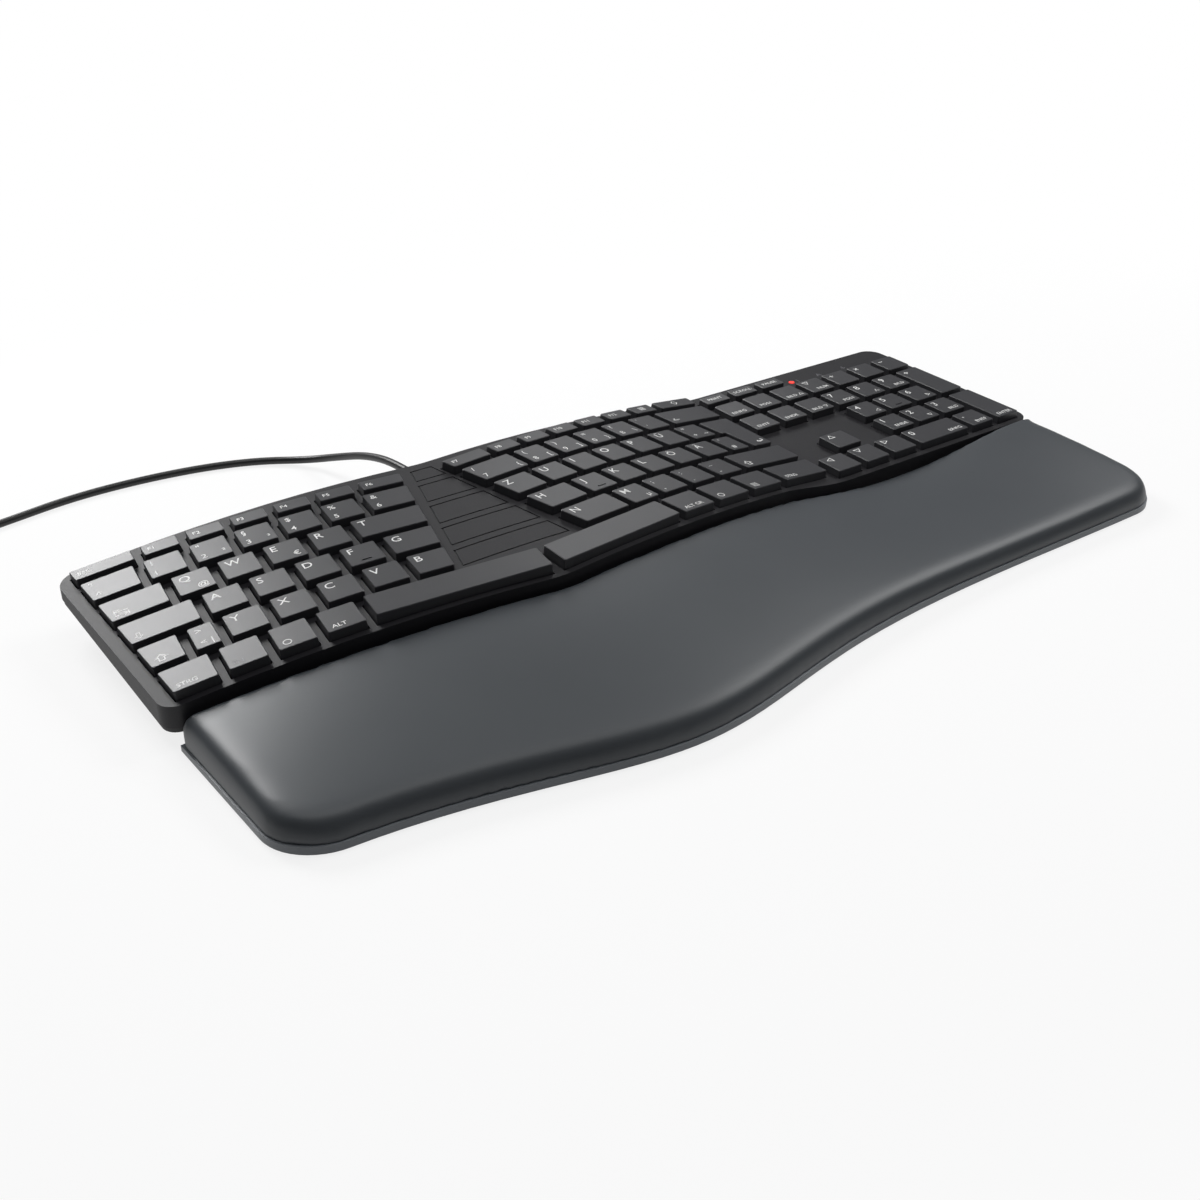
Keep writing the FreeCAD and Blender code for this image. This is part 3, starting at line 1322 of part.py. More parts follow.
def usb_plug_body():
    """Moulded grip of the plug, with bevelled corners."""
    start, heading = plug_frame()
    side = V(-heading.y, heading.x, 0)
    half, rise, bevel = PLUG_WIDTH / 2, PLUG_HEIGHT / 2, PLUG_BEVEL
    ring = []
    for s, t in ((-1, -1), (1, -1), (1, 1), (-1, 1)):
        near = [(s * (half - bevel), t * rise), (s * half, t * (rise - bevel))]
        ring += near if s * t < 0 else near[::-1]
    ring = [start + side * a + V(0, 0, b) for a, b in ring]
    return solid_between(ring, [p + heading * PLUG_LENGTH for p in ring])


def usb_plug_shell():
    """Metal shell of the plug, with its tongue."""
    start, heading = plug_frame()
    face = start + heading * PLUG_LENGTH
    shell = box_along(face, heading, PLUG_TIP_LENGTH, 12.0, 4.5)
    hollow = box_along(face + heading * 1.0, heading, PLUG_TIP_LENGTH, 11.4, 3.9)
    tongue = box_along(face + heading * 0.5 - V(0, 0, 0.95), heading, PLUG_TIP_LENGTH - 1.0, 11.0, 1.9)
    return one_solid(shell.cut(hollow).fuse(tongue))


def main():
    os.makedirs(PARTS, exist_ok=True)
    groups = key_groups()
    planes = {name: [KeyPlane(cell) for cell in cells] for name, cells in groups.items()}
    every = [p for group in planes.values() for p in group]
    stabilisers = [Stabiliser(planes["left_space_key"][0]), Stabiliser(planes["right_space_key"][0])]
    nodes = {}
    for name, group in planes.items():
        nodes[name] = [keycap(p) for p in group]
    for name in ("left_space_key", "right_space_key"):
        nodes[name] = [space_bar(planes[name][0])]
    for name, place in HOMING_KEYS:
        nodes[name][place] = homing_key(planes[name][place])
    nodes["left_space_stabiliser"] = [stabilisers[0].wire()]
    nodes["right_space_stabiliser"] = [stabilisers[1].wire()]
    nodes["top_cover"] = [top_cover(every)]
    nodes["indicator_lens"] = [indicator_lens()]
    nodes["key_guide_plate"] = [key_guide_plate(every, stabilisers)]
    nodes["dome_sheet"] = [dome_sheet(every)]
    nodes["membrane_top_sheet"] = [sheet(MEMBRANE_TOP, SHEET_THICKNESS)]
    nodes["membrane_spacer_sheet"] = [membrane_spacer_sheet(every)]
    nodes["membrane_bottom_sheet"] = [membrane_bottom_sheet()]
    nodes["backing_plate"] = [backing_plate()]
    edge_keys = [p for name in EDGE_KEY_NODES for p in planes[name]]
    nodes["bottom_case"] = [bottom_case(edge_keys)]
    nodes["case_screws"] = case_screws()
    nodes["rubber_feet"] = rubber_feet()
    nodes["flip_foot_left"] = [flip_foot(FLIP_PLACES[0])]
    nodes["flip_foot_right"] = [flip_foot(FLIP_PLACES[1])]
    nodes["palm_rest_pad"] = [palm_rest_pad()]
    nodes["palm_rest_base"] = [palm_rest_base()]
    nodes["controller_board"] = [controller_board()]
    nodes["board_components"] = board_components()
    nodes["cable_gland"] = [gland()]
    nodes["inner_lead"] = [inner_lead()]
    wire, radii = rounded_path(cable_route())
    print("cable radii", [round(r) for r in radii])
    nodes["cable"] = [tube(wire, "cable")]
    wire = coil_wire()
    print("cable_coil least gap %.2f" % least_gap(wire))
    nodes["cable_coil"] = [tube(wire, "cable_coil")]
    wire, radii = rounded_path(tail_route())
    print("cable_tail radii", [round(r) for r in radii])
    nodes["cable_tail"] = [tube(wire, "cable_tail")]
    nodes["usb_plug_body"] = [usb_plug_body()]
    nodes["usb_plug_shell"] = [usb_plug_shell()]
    for name, solids in nodes.items():
        shape = solids[0] if len(solids) == 1 else Part.makeCompound(solids)
        if not shape.isValid():
            print("not valid:", name)
        shape.exportStep(os.path.join(PARTS, name + ".step"))
        box = shape.optimalBoundingBox(False)
        print("%-26s %3d solids  X %.1f..%.1f  Y %.1f..%.1f  Z %.1f..%.1f" % (
            name, len(shape.Solids), box.XMin, box.XMax, box.YMin, box.YMax, box.ZMin, box.ZMax))


main()
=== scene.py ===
import json
import math

import bmesh
import bpy
from mathutils import Matrix, Vector


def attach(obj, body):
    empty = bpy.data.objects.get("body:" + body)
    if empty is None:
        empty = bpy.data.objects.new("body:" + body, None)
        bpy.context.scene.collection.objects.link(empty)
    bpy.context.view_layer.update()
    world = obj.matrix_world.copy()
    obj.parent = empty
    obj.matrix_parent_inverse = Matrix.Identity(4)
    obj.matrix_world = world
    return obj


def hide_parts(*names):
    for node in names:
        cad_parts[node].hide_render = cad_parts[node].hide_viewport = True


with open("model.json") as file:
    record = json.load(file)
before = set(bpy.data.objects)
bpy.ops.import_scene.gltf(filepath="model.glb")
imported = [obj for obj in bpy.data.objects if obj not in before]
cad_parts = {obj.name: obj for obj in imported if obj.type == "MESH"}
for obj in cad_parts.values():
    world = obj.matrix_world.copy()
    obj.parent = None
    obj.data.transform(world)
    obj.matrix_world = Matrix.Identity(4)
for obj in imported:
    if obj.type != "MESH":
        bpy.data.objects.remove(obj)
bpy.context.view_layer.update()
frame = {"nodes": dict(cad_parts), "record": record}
MM = 0.001

# Camera, fitted to the corners of the key tops

CAMERA_PLACE = (-0.37705, -0.4447, 0.3049)
CAMERA_ANGLES = (61.17, 0.0, -36.96)
CAMERA_LENS = 44.43
CAMERA_SENSOR = 36.0
CAMERA_NEAR = 0.01
CAMERA_FAR = 50.0


def add_camera():
    data = bpy.data.cameras.new("camera")
    data.lens = CAMERA_LENS
    data.sensor_width = CAMERA_SENSOR
    data.clip_start = CAMERA_NEAR
    data.clip_end = CAMERA_FAR
    camera = bpy.data.objects.new("camera", data)
    camera.location = CAMERA_PLACE
    camera.rotation_euler = [math.radians(a) for a in CAMERA_ANGLES]
    bpy.context.scene.collection.objects.link(camera)
    bpy.context.scene.camera = camera


add_camera()


# Helpers

def deselect():
    for item in bpy.context.selected_objects:
        item.select_set(False)


def make_active(item):
    deselect()
    item.select_set(True)
    bpy.context.view_layer.objects.active = item


def linear(code):
    """An sRGB hex colour as the linear values that shaders take."""
    values = [int(code[i:i + 2], 16) / 255 for i in (1, 3, 5)]
    channels = [v / 12.92 if v <= 0.04045 else ((v + 0.055) / 1.055) ** 2.4 for v in values]
    return (*channels, 1.0)


def add_node(material, kind, settings=None, values=None, links=None):
    """Adds one shader node with its settings, its input values and its input links."""
    node = material.node_tree.nodes.new(kind)
    for name, value in (settings or {}).items():
        setattr(node, name, value)
    for name, value in (values or {}).items():
        node.inputs[name].default_value = value
    for name, (source, output) in (links or {}).items():
        material.node_tree.links.new(source.outputs[output], node.inputs[name])
    return node


def new_material(name):
    """A material with only its shader, its output and the object's own coordinates."""
    material = bpy.data.materials.new(name)
    material.use_nodes = True
    material.node_tree.nodes.clear()
    shader = add_node(material, "ShaderNodeBsdfPrincipled")
    add_node(material, "ShaderNodeOutputMaterial", links={"Surface": (shader, "BSDF")})
    place = add_node(material, "ShaderNodeTexCoord")
    return material, shader, place


def per_mm(size):
    """Texture scale whose features are about this many millimetres apart."""
    return 1.0 / (size * MM)


def dress(item, material):
    item.data.materials.clear()
    item.data.materials.append(material)


# Cable: a round PVC lead from the strain relief over the back edge to its coil and plug.
# Millimetres, and the CAD cable's own route.

SPLIT_X = -77.45
ROW_LINE_Y = 94.0
CABLE_DIAMETER = 3.8
LIE = CABLE_DIAMETER / 2
GLAND_XI = 10.0
GLAND_REACH = 12.0
GLAND_HEIGHT = 24.6
COIL_CENTRE = (-202.0, 92.0)
COIL_RADIUS = 32.5
COIL_PITCH = CABLE_DIAMETER + 0.5
COIL_HALF_TURNS_IN = 10
COIL_HALF_TURNS = 18
COIL_CLIMB_START = 9.0
COIL_POINTS_PER_TURN = 12
PLUG_LEVEL = 4.0


def at(xi, y, z=0.0):
    """Point in millimetres from the split axis and the number block's back line."""
    return Vector((SPLIT_X + xi, ROW_LINE_Y + y, z))


def coil_radius(half_turns):
    """Radius of the coil's line: in on the desk, a step outwards, then out on top of itself."""
    if half_turns <= COIL_HALF_TURNS_IN:
        return COIL_RADIUS - 0.5 * COIL_PITCH * half_turns
    inner = COIL_RADIUS - 0.5 * COIL_PITCH * COIL_HALF_TURNS_IN
    past = half_turns - COIL_HALF_TURNS_IN
    if past < 1:
        return inner + COIL_PITCH * past
    return inner + COIL_PITCH + 0.5 * COIL_PITCH * (past - 1)


def coil_level(half_turns):
    return LIE + COIL_PITCH * min(max(half_turns - COIL_CLIMB_START, 0.0), 1.0)


def cable_points():
    points = [
        at(GLAND_XI, GLAND_REACH, GLAND_HEIGHT),
        at(GLAND_XI, 34.0, GLAND_HEIGHT),
        at(9.4, 60.0, 19.6),
        at(7.4, 86.0, 10.4),
        at(0.0, 108.0, LIE + 1.0),
        at(-19.0, 124.0, LIE),
        at(-45.0, 133.0, LIE),
        at(-78.0, 137.5, LIE),
        at(-112.0, 137.0, LIE),
        at(-144.0, 130.0, LIE),
        at(-172.0, 124.5, LIE),
    ]
    # Control points of a round turn lie a little outside it
    outside = 1.0 / math.cos(math.pi / COIL_POINTS_PER_TURN) ** 0.5
    centre = at(*COIL_CENTRE)
    steps = COIL_HALF_TURNS * COIL_POINTS_PER_TURN // 2
    for i in range(steps + 3):
        half_turns = 2.0 * i / COIL_POINTS_PER_TURN
        angle = math.pi / 2 + math.pi * half_turns
        reach = coil_radius(half_turns) * outside
        x = centre.x + reach * math.cos(angle)
        y = centre.y + reach * math.sin(angle)
        points.append(Vector((x, y, coil_level(half_turns))))
    # The tail leaves the coil's upper layer and comes down to the plug's middle
    end = centre + Vector((-(coil_radius(COIL_HALF_TURNS) + 1.0), 0, LIE + COIL_PITCH))
    drop = PLUG_LEVEL - end.z
    tail = (
        (0, -3.8, 0),
        (0, -19.8, 0),
        (1.0, -35.8, -1.0),
        (4.5, -53.8, drop),
        (7.5, -70.8, drop),
    )
    return points + [end + Vector(step) for step in tail]


def add_cable():
    curve = bpy.data.curves.new("cable_line", "CURVE")
    curve.dimensions = "3D"
    spline = curve.splines.new("NURBS")
    points = cable_points()
    spline.points.add(len(points) - 1)
    for place, point in zip(points, spline.points):
        point.co = (*(place * MM), 1.0)
        point.radius = 0.5 * CABLE_DIAMETER * MM
    spline.order_u = 3
    spline.use_endpoint_u = True
    spline.resolution_u = 6
    # A bevel of one metre times each point's radius, which also keeps the curve's own box tight
    curve.bevel_depth = 1.0
    curve.bevel_resolution = 4
    curve.use_fill_caps = True
    cable = bpy.data.objects.new("cable_line", curve)
    bpy.context.scene.collection.objects.link(cable)
    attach(cable, "case")
    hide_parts("cable", "cable_coil", "cable_tail")
    return cable


cable = add_cable()


# Materials

# Nearly all of a noise texture's values lie between these two
NOISE_LOW, NOISE_HIGH = 0.3, 0.7
PLASTIC_CLOUDS = 24.0
SKIN_CLOUDS = 40.0


def mottle(material, shader, place, dark, light, size):
    """Two close shades that drift into each other over this many millimetres."""
    clouds = add_node(material, "ShaderNodeTexNoise",
                      values={"Scale": per_mm(size), "Detail": 2.0},
                      links={"Vector": (place, "Object")})
    tint = add_node(material, "ShaderNodeMix", {"data_type": "RGBA"},
                    links={"Factor": (clouds, "Fac")})
    for socket in tint.inputs:
        if socket.type == "RGBA":
            socket.default_value = linear(dark) if socket.name == "A" else linear(light)
    colour = [s for s in tint.outputs if s.type == "RGBA"][0]
    material.node_tree.links.new(colour, shader.inputs["Base Color"])


def vary_gloss(material, shader, pattern, roughness, spread):
    """Roughness that follows a noise pattern, by this much either way."""
    gloss = add_node(material, "ShaderNodeMapRange", values={
        "From Min": NOISE_LOW, "From Max": NOISE_HIGH,
        "To Min": roughness - spread, "To Max": roughness + spread},
        links={"Value": (pattern, "Fac")})
    material.node_tree.links.new(gloss.outputs["Result"], shader.inputs["Roughness"])


def emboss(material, shader, height, strength, depth):
    """Bump from a pattern's output, as deep as so many millimetres."""
    bump = add_node(material, "ShaderNodeBump",
                    values={"Strength": strength, "Distance": depth * MM},
                    links={"Height": height})
    material.node_tree.links.new(bump.outputs["Normal"], shader.inputs["Normal"])


def speckled(name, dark, light, roughness, grain, depth, specular=0.5, coat=0.0):
    """Spark-textured moulding: pits of one size give a soft, even sheen."""
    material, shader, place = new_material(name)
    pits = add_node(material, "ShaderNodeTexNoise",
                    values={"Scale": per_mm(grain), "Detail": 3.0, "Roughness": 0.6},
                    links={"Vector": (place, "Object")})
    mottle(material, shader, place, dark, light, PLASTIC_CLOUDS)
    vary_gloss(material, shader, pits, roughness, 0.04)
    emboss(material, shader, (pits, "Fac"), 0.35, depth)
    shader.inputs["IOR"].default_value = 1.53
    shader.inputs["Specular IOR Level"].default_value = specular
    shader.inputs["Coat Weight"].default_value = coat
    return material


def soft_skin(name, dark, light):
    """Foamed polyurethane skin: a silky surface with a very fine leather grain."""
    material, shader, place = new_material(name)
    cells = add_node(material, "ShaderNodeTexVoronoi", values={"Scale": per_mm(0.9)},
                     links={"Vector": (place, "Object")})
    mottle(material, shader, place, dark, light, SKIN_CLOUDS)
    emboss(material, shader, (cells, "Distance"), 0.12, 0.03)
    shader.inputs["Roughness"].default_value = 0.42
    shader.inputs["IOR"].default_value = 1.5
    return material


def metal(name, code, roughness, grain):
    """Plated or drawn steel with fine streaks along X."""
    material, shader, place = new_material(name)
    stretch = add_node(material, "ShaderNodeMapping", values={"Scale": (0.08, 1.0, 1.0)},
                       links={"Vector": (place, "Object")})
    streaks = add_node(material, "ShaderNodeTexNoise",
                       values={"Scale": per_mm(grain), "Detail": 2.0},
                       links={"Vector": (stretch, "Vector")})
    vary_gloss(material, shader, streaks, roughness, 0.06)
    shader.inputs["Base Color"].default_value = linear(code)
    shader.inputs["Metallic"].default_value = 1.0
    return material


def lamp_lens(name):
    """Red diffusing lens with its lamp on: a small even glow."""
    material, shader, place = new_material(name)
    cloud = add_node(material, "ShaderNodeTexNoise", values={"Scale": per_mm(0.8)},
                     links={"Vector": (place, "Object")})
    gloss = add_node(material, "ShaderNodeMapRange", values={"To Min": 0.15, "To Max": 0.3},
                     links={"Value": (cloud, "Fac")})
    material.node_tree.links.new(gloss.outputs["Result"], shader.inputs["Roughness"])
    shader.inputs["Base Color"].default_value = linear("#d8322a")
    shader.inputs["Emission Color"].default_value = linear("#ff4038")
    shader.inputs["Emission Strength"].default_value = 1.1
    return material


# For a moulding: dark and light shade, roughness, grain and its depth in millimetres.
# For a metal: colour, roughness and the spacing of its streaks.
SLOT_MATERIALS = {
    # Key caps and cover are the same plastic; the caps are a shade lighter and glossier
    "keycap": speckled("key_abs", "#2f2f32", "#343437", 0.40, 0.30, 0.02),
    "cover": speckled("cover_abs", "#151418", "#19181c", 0.52, 0.35, 0.02, specular=0.32),
    # Coarser spark texture, as undersides have
    "case_underside": speckled("underside_abs", "#1a1a1c", "#202022", 0.6, 0.5, 0.04),
    "lens": lamp_lens("lamp_lens"),
    "inner_plastic": speckled("guide_pom", "#161617", "#1c1c1d", 0.5, 0.6, 0.02),
    # Milky rubber and glossy film of the key switches
    "silicone": speckled("dome_silicone", "#b9b9b6", "#c9c9c6", 0.55, 0.8, 0.01),
    "film": speckled("membrane_pet", "#c3c9c4", "#d2d6d1", 0.2, 2.0, 0.005),
    "steel_plate": metal("zinc_plate", "#a9a9ab", 0.38, 0.6),
    "screw_steel": metal("screw_zinc", "#9a9a9c", 0.35, 0.4),
    # Matt, so that it grips the desk
    "foot_rubber": speckled("foot_rubber", "#161616", "#1d1d1d", 0.75, 0.5, 0.05),
    "pad_skin": soft_skin("pad_skin", "#3d4145", "#43474b"),
    # The palm rest's light rim, a satin grey
    "rest_rim": speckled("rim_abs", "#7d8186", "#868a8f", 0.42, 0.4, 0.02),
    # Green solder mask has a thin clear coat
    "circuit_board": speckled("board_mask", "#14532b", "#1b6335", 0.3, 1.5, 0.01, coat=0.4),
    "component_black": speckled("component_epoxy", "#141415", "#1b1b1c", 0.5, 0.4, 0.02),
    "cable_rubber": speckled("cable_pvc", "#101011", "#161617", 0.42, 0.5, 0.02),
    "plug_plastic": speckled("plug_pvc", "#121213", "#18181a", 0.4, 0.4, 0.02),
    "plug_metal": metal("plug_nickel", "#c9c7c2", 0.22, 0.5),
    "wire_steel": metal("wire_drawn", "#b5b5b6", 0.25, 0.3),
    "foot_plastic": speckled("flip_foot_abs", "#1a1a1c", "#202022", 0.55, 0.4, 0.03),
}


def dress_nodes():
    for row in frame["record"]["subparts"]:
        dress(frame["nodes"][row["node"]], SLOT_MATERIALS[row["material_slot"]])


dress_nodes()
dress(cable, SLOT_MATERIALS["cable_rubber"])


# Palm pad: the foam's own form, remeshed and smoothed so that its skin has no flats.
# Heights and distances are in millimetres.

PAD_WELD = 0.01
PAD_VOXEL = 1.3
PAD_SINK = 1.5
PAD_FLOOR_GAP = 1.0
PAD_ROUNDS = 8
FACES_DOWN = -0.8
ROLL_FOOT = 5.5
ROLL_BLEND = 3.0
ROLL_TURN = 0.15
ROLL_ROUNDS = 80


def smooth(item, rounds, group=""):
    modifier = item.modifiers.new("smooth", "SMOOTH")
    modifier.factor = 0.5
    modifier.iterations = rounds
    modifier.vertex_group = group
    bpy.ops.object.modifier_apply(modifier=modifier.name)


def add_pad():
    source = frame["nodes"]["palm_rest_pad"]
    pad = source.copy()
    pad.data = source.data.copy()
    pad.name = "palm_pad_skin"
    for key in list(pad.keys()):
        del pad[key]
    pad.parent = None
    bpy.context.scene.collection.objects.link(pad)
    make_active(pad)
    bpy.ops.object.mode_set(mode="EDIT")
    bpy.ops.mesh.select_all(action="SELECT")
    bpy.ops.mesh.remove_doubles(threshold=PAD_WELD * MM)
    bpy.ops.object.mode_set(mode="OBJECT")
    # The foam's underside goes a little into the rigid base, so that no edge of it shows,
    # and stays off the floor
    under = {v for f in pad.data.polygons if f.normal.z < FACES_DOWN for v in f.vertices}
    for i in under:
        place = pad.data.vertices[i].co
        place.z = max(place.z - PAD_SINK * MM, PAD_FLOOR_GAP * MM)
    remesh = pad.modifiers.new("remesh", "REMESH")
    remesh.mode = "VOXEL"
    remesh.voxel_size = PAD_VOXEL * MM
    remesh.use_smooth_shade = True
    bpy.ops.object.modifier_apply(modifier=remesh.name)
    smooth(pad, PAD_ROUNDS)
    # The front and the ends roll over in a wide soft curve, and the line along the keys stays
    # crisp
    soft = pad.vertex_groups.new(name="soft_roll")
    for vertex in pad.data.vertices:
        over_rim = min(max((vertex.co.z / MM - ROLL_FOOT) / ROLL_BLEND, 0.0), 1.0)
        forward = min(max((ROLL_TURN - vertex.normal.y) / ROLL_TURN, 0.0), 1.0)
        soft.add([vertex.index], over_rim * forward, "REPLACE")
    smooth(pad, ROLL_ROUNDS, soft.name)
    bpy.ops.object.shade_smooth()
    dress(pad, SLOT_MATERIALS["pad_skin"])
    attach(pad, "case")
    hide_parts("palm_rest_pad")


add_pad()


# Legends: pad-printed white ink on each cap. Cap heights, margins and ink are in millimetres.

WORD = 2.25
SIGN = 3.1
LETTER = 4.0
LEGEND_BACK = 1.7
LEGEND_SIDE = 2.1
LEGEND_WIDEN = 1.05
INK_SPREAD = 0.02
INK_LIFT = 0.02

# A capital's height as a share of the built-in font's size
CAPITAL_SHARE = 0.7
# A mark lower than this share of a capital may hang below the line, as a comma does
LOW_MARK = 0.6

UP, DOWN, LEFT, RIGHT = "△", "▽", "◁", "▷"


def letters(text):
    return [[("tl", c, LETTER)] for c in text]


def word(text, corner="bl", size=WORD):
    return [(corner, text, size)]


def pair(upper, lower, extra=""):
    """A key with a sign over another at its left, and perhaps a third at its right."""
    marks = [("tl", upper, SIGN), ("bl", lower, SIGN)]
    return marks + ([("br", extra, SIGN)] if extra else [])


def lettered(letter, extra):
    return [("tl", letter, LETTER), ("br", extra, SIGN)]


def number_key(digit, extra=""):
    return [("tl", digit, LETTER)] + ([("br", extra, WORD)] if extra else [])


# Each node's keys, from left to right, and in the two blocks row by row from the back.
# A mark has its corner of the key (top, middle or bottom; left, centre or right), text and size.
LEGENDS = {
    "escape_key": [word("ESC", "ml")],
    "function_keys_left": [word("F%d" % i, "ml") for i in range(1, 7)],
    "function_keys_right": [word("F%d" % i, "ml") for i in range(7, 13)]
    + [word("▦", "mc", SIGN), word("◇", "mc", SIGN)],
    "system_keys": [word("PRINT", "mc"), word("SCROLL", "mc"), word("PAUSE", "mc")],
    "digit_keys_left": [pair("°", "^"), pair("!", "1"), pair('"', "2", "²"), pair("§", "3", "³"),
                        pair("$", "4"), pair("%", "5"), pair("&", "6")],
    "digit_keys_right": [pair("/", "7", "{"), pair("(", "8", "["), pair(")", "9", "]"),
                         pair("=", "0", "}"), pair("?", "ß", "\\"), pair("`", "´")],
    "backspace_key": [word("←", size=LETTER)],
    "tab_key": [word("↹", size=LETTER)],
    "upper_letter_keys_left": [lettered("Q", "@")] + letters("W") + [lettered("E", "€")]
    + letters("RT"),
    "upper_letter_keys_right": letters("ZUIOPÜ") + [pair("*", "+", "~")],
    "enter_key": [word("↵", "br", LETTER)],
    "caps_lock_key": [word("⇩", size=LETTER)],
    "home_letter_keys_left": letters("ASDFG"),
    "home_letter_keys_right": letters("HJKLÖÄ") + [pair("'", "#")],
    "left_shift_key": [word("⇧", size=LETTER)],
    "lower_letter_keys_left": [pair(">", "<", "|")] + letters("YXCVB"),
    "lower_letter_keys_right": letters("N") + [lettered("M", "µ"), pair(";", ","), pair(":", "."),
                                               pair("_", "-")],
    "right_shift_key": [word("⇧", size=LETTER)],
    "left_control_key": [word("STRG")],
    "modifier_keys_left": [[], word("○", size=SIGN), word("ALT")],
    "modifier_keys_right": [word("ALT GR"), word("○", size=SIGN), word("▤", size=SIGN)],
    "right_control_key": [word("STRG")],
    "navigation_keys": [word("EINFG"), word("POS1"), word("BILD " + UP), word("ENTF"),
                        word("ENDE"), word("BILD " + DOWN)],
    "arrow_up_key": [word(UP, "tl", SIGN)],
    "arrow_left_key": [word(LEFT, "tl", SIGN)],
    "arrow_down_key": [word(DOWN, "tl", SIGN)],
    "arrow_right_key": [word(RIGHT, "tl", SIGN)],
    "number_block_keys": [number_key("7", "POS1"), number_key("8", UP), number_key("9", "BILD"),
                          number_key("4", LEFT), number_key("5"), number_key("6", RIGHT),
                          number_key("1", "ENDE"), number_key("2", DOWN), number_key("3", "BILD"),
                          number_key(",", "ENTF")],
    "number_zero_key": [number_key("0", "EINFG")],
    "number_operator_keys": [[("tl", DOWN, SIGN), ("br", "NUM", WORD)], word("÷", "tl", LETTER),
                             word("×", "tl", LETTER), word("−", "tl", LETTER)],
    "number_plus_key": [word("+", "tl", LETTER)],
    "number_enter_key": [word("ENTER", "br")],
}
# The one key whose word is printed in grey
DIM_LEGENDS = {"modifier_keys_left": [word("FN"), [], []]}
# Lock signs on the cover: text, and where its lower left corner is, as at() takes it
COVER_SIGNS = [("1", 245.0, 5.0), ("A", 259.0, 5.0), ("↓", 278.0, 5.0)]
BLOCK_NODES = ("navigation_keys", "number_block_keys")

# Limits that tell a cap's flat top from the rest of its mesh, in metres or as a cosine
SAME_POINT = 0.000001
SAME_LEVEL = 0.00001
SAME_TILT = 0.9999
FACES_UP = 0.9
KEY_PITCH = 0.019
# A mark's sides are measured just inside its lower and its upper edge
MARK_ENDS = (0.03, 0.97)
ABOVE_COVER = 60.0


class KeyTop:
    """The flat top of one cap: its middle, its own axes, and its edges along them."""

    def __init__(self, faces):
        largest = max(faces, key=lambda f: f.calc_area())
        self.normal = largest.normal.copy()
        level = largest.verts[0].co.dot(self.normal)
        flat = [f for f in faces if f.normal.dot(self.normal) > SAME_TILT
                and abs(f.verts[0].co.dot(self.normal) - level) < SAME_LEVEL]
        rim = [e for f in flat for e in f.edges if sum(g in flat for g in e.link_faces) == 1]
        ends = [[v.co.copy() for v in e.verts] for e in rim]
        along = [b - a for a, b in ends if abs((b - a).x) > abs((b - a).y)]
        self.u = max(along, key=lambda d: d.length).normalized()
        if self.u.x < 0:
            self.u.negate()
        self.v = self.normal.cross(self.u)
        corners = [p for e in ends for p in e]
        self.middle = sum(corners, Vector()) / len(corners)
        self.edges = [[self.flat_place(p) for p in e] for e in ends]
        self.back = max(p[1] for e in self.edges for p in e)
        self.front = min(p[1] for e in self.edges for p in e)

    def flat_place(self, point):
        """A point's distances from the middle along the row and across it."""
        return (point - self.middle).dot(self.u), (point - self.middle).dot(self.v)

    def sides(self, v):
        """Where the top begins and ends along its row, at one distance from its middle."""
        hits = []
        for (ua, va), (ub, vb) in self.edges:
            if (va - v) * (vb - v) < 0:
                hits.append(ua + (ub - ua) * (v - va) / (vb - va))
        return min(hits), max(hits)

    def place(self, width, height, corner):
        """Where a printed mark's lower left corner goes."""
        edge, side = LEGEND_BACK * MM, LEGEND_SIDE * MM
        if corner[0] == "m":
            v = 0.5 * (self.front + self.back) - 0.5 * height
        elif corner[0] == "t":
            v = self.back - edge - height
        else:
            v = self.front + edge
        lows, highs = zip(*[self.sides(v + t * height) for t in MARK_ENDS])
        left, right = max(lows) + side, min(highs) - side - width
        u = {"l": left, "r": right, "c": 0.5 * (left + right)}[corner[1]]
        matrix = Matrix((self.u, self.v, self.normal)).transposed().to_4x4()
        lift = self.normal * (INK_LIFT * MM)
        matrix.translation = self.middle + self.u * u + self.v * v + lift
        return matrix


def key_tops(node):
    """The tops of a node's caps, from left to right, and in a block row by row from the back."""
    mesh = bmesh.new()
    mesh.from_mesh(frame["nodes"][node].data)
    bmesh.ops.remove_doubles(mesh, verts=mesh.verts, dist=SAME_POINT)
    mesh.normal_update()
    mesh.faces.index_update()
    left = set(mesh.faces)
    tops = []
    while left:
        island, queue = [], [left.pop()]
        while queue:
            face = queue.pop()
            island.append(face)
            for edge in face.edges:
                for other in edge.link_faces:
                    if other in left:
                        left.remove(other)
                        queue.append(other)
        # In the order of the mesh, so that each run rounds alike
        island.sort(key=lambda f: f.index)
        tops.append(KeyTop([f for f in island if f.normal.z > FACES_UP]))
    mesh.free()
    block = node in BLOCK_NODES
    tops.sort(key=lambda t: (-round(t.middle.y / KEY_PITCH) if block else 0, t.middle.x))
    return tops


printed = {}


def printed_mark(text, height):
    """Mesh of a word or sign of one cap height, with its lower left corner at the origin."""
    if (text, height) not in printed:
        deselect()
        bpy.ops.object.text_add(location=(0, 0, 0))
        item = bpy.context.active_object
        item.data.body = text
        item.data.size = height * MM / CAPITAL_SHARE
        item.data.resolution_u = 3
        item.data.offset = INK_SPREAD * MM
        item.data.extrude = 0.5 * INK_LIFT * MM
        bpy.ops.object.convert(target="MESH")
        item = bpy.context.active_object
        xs = [v.co.x for v in item.data.vertices]
        ys = [v.co.y for v in item.data.vertices]
        hang = 0.0 if max(ys) > LOW_MARK * height * MM else min(0.0, min(ys))
        item.data.transform(Matrix.Translation((-min(xs), -hang, 0)))
        item.data.transform(Matrix.Diagonal((LEGEND_WIDEN, 1.0, 1.0, 1.0)))
        mesh = item.data.copy()
        bpy.data.objects.remove(item)
        printed[(text, height)] = (mesh, max(v.co.x for v in mesh.vertices))
    return printed[(text, height)]


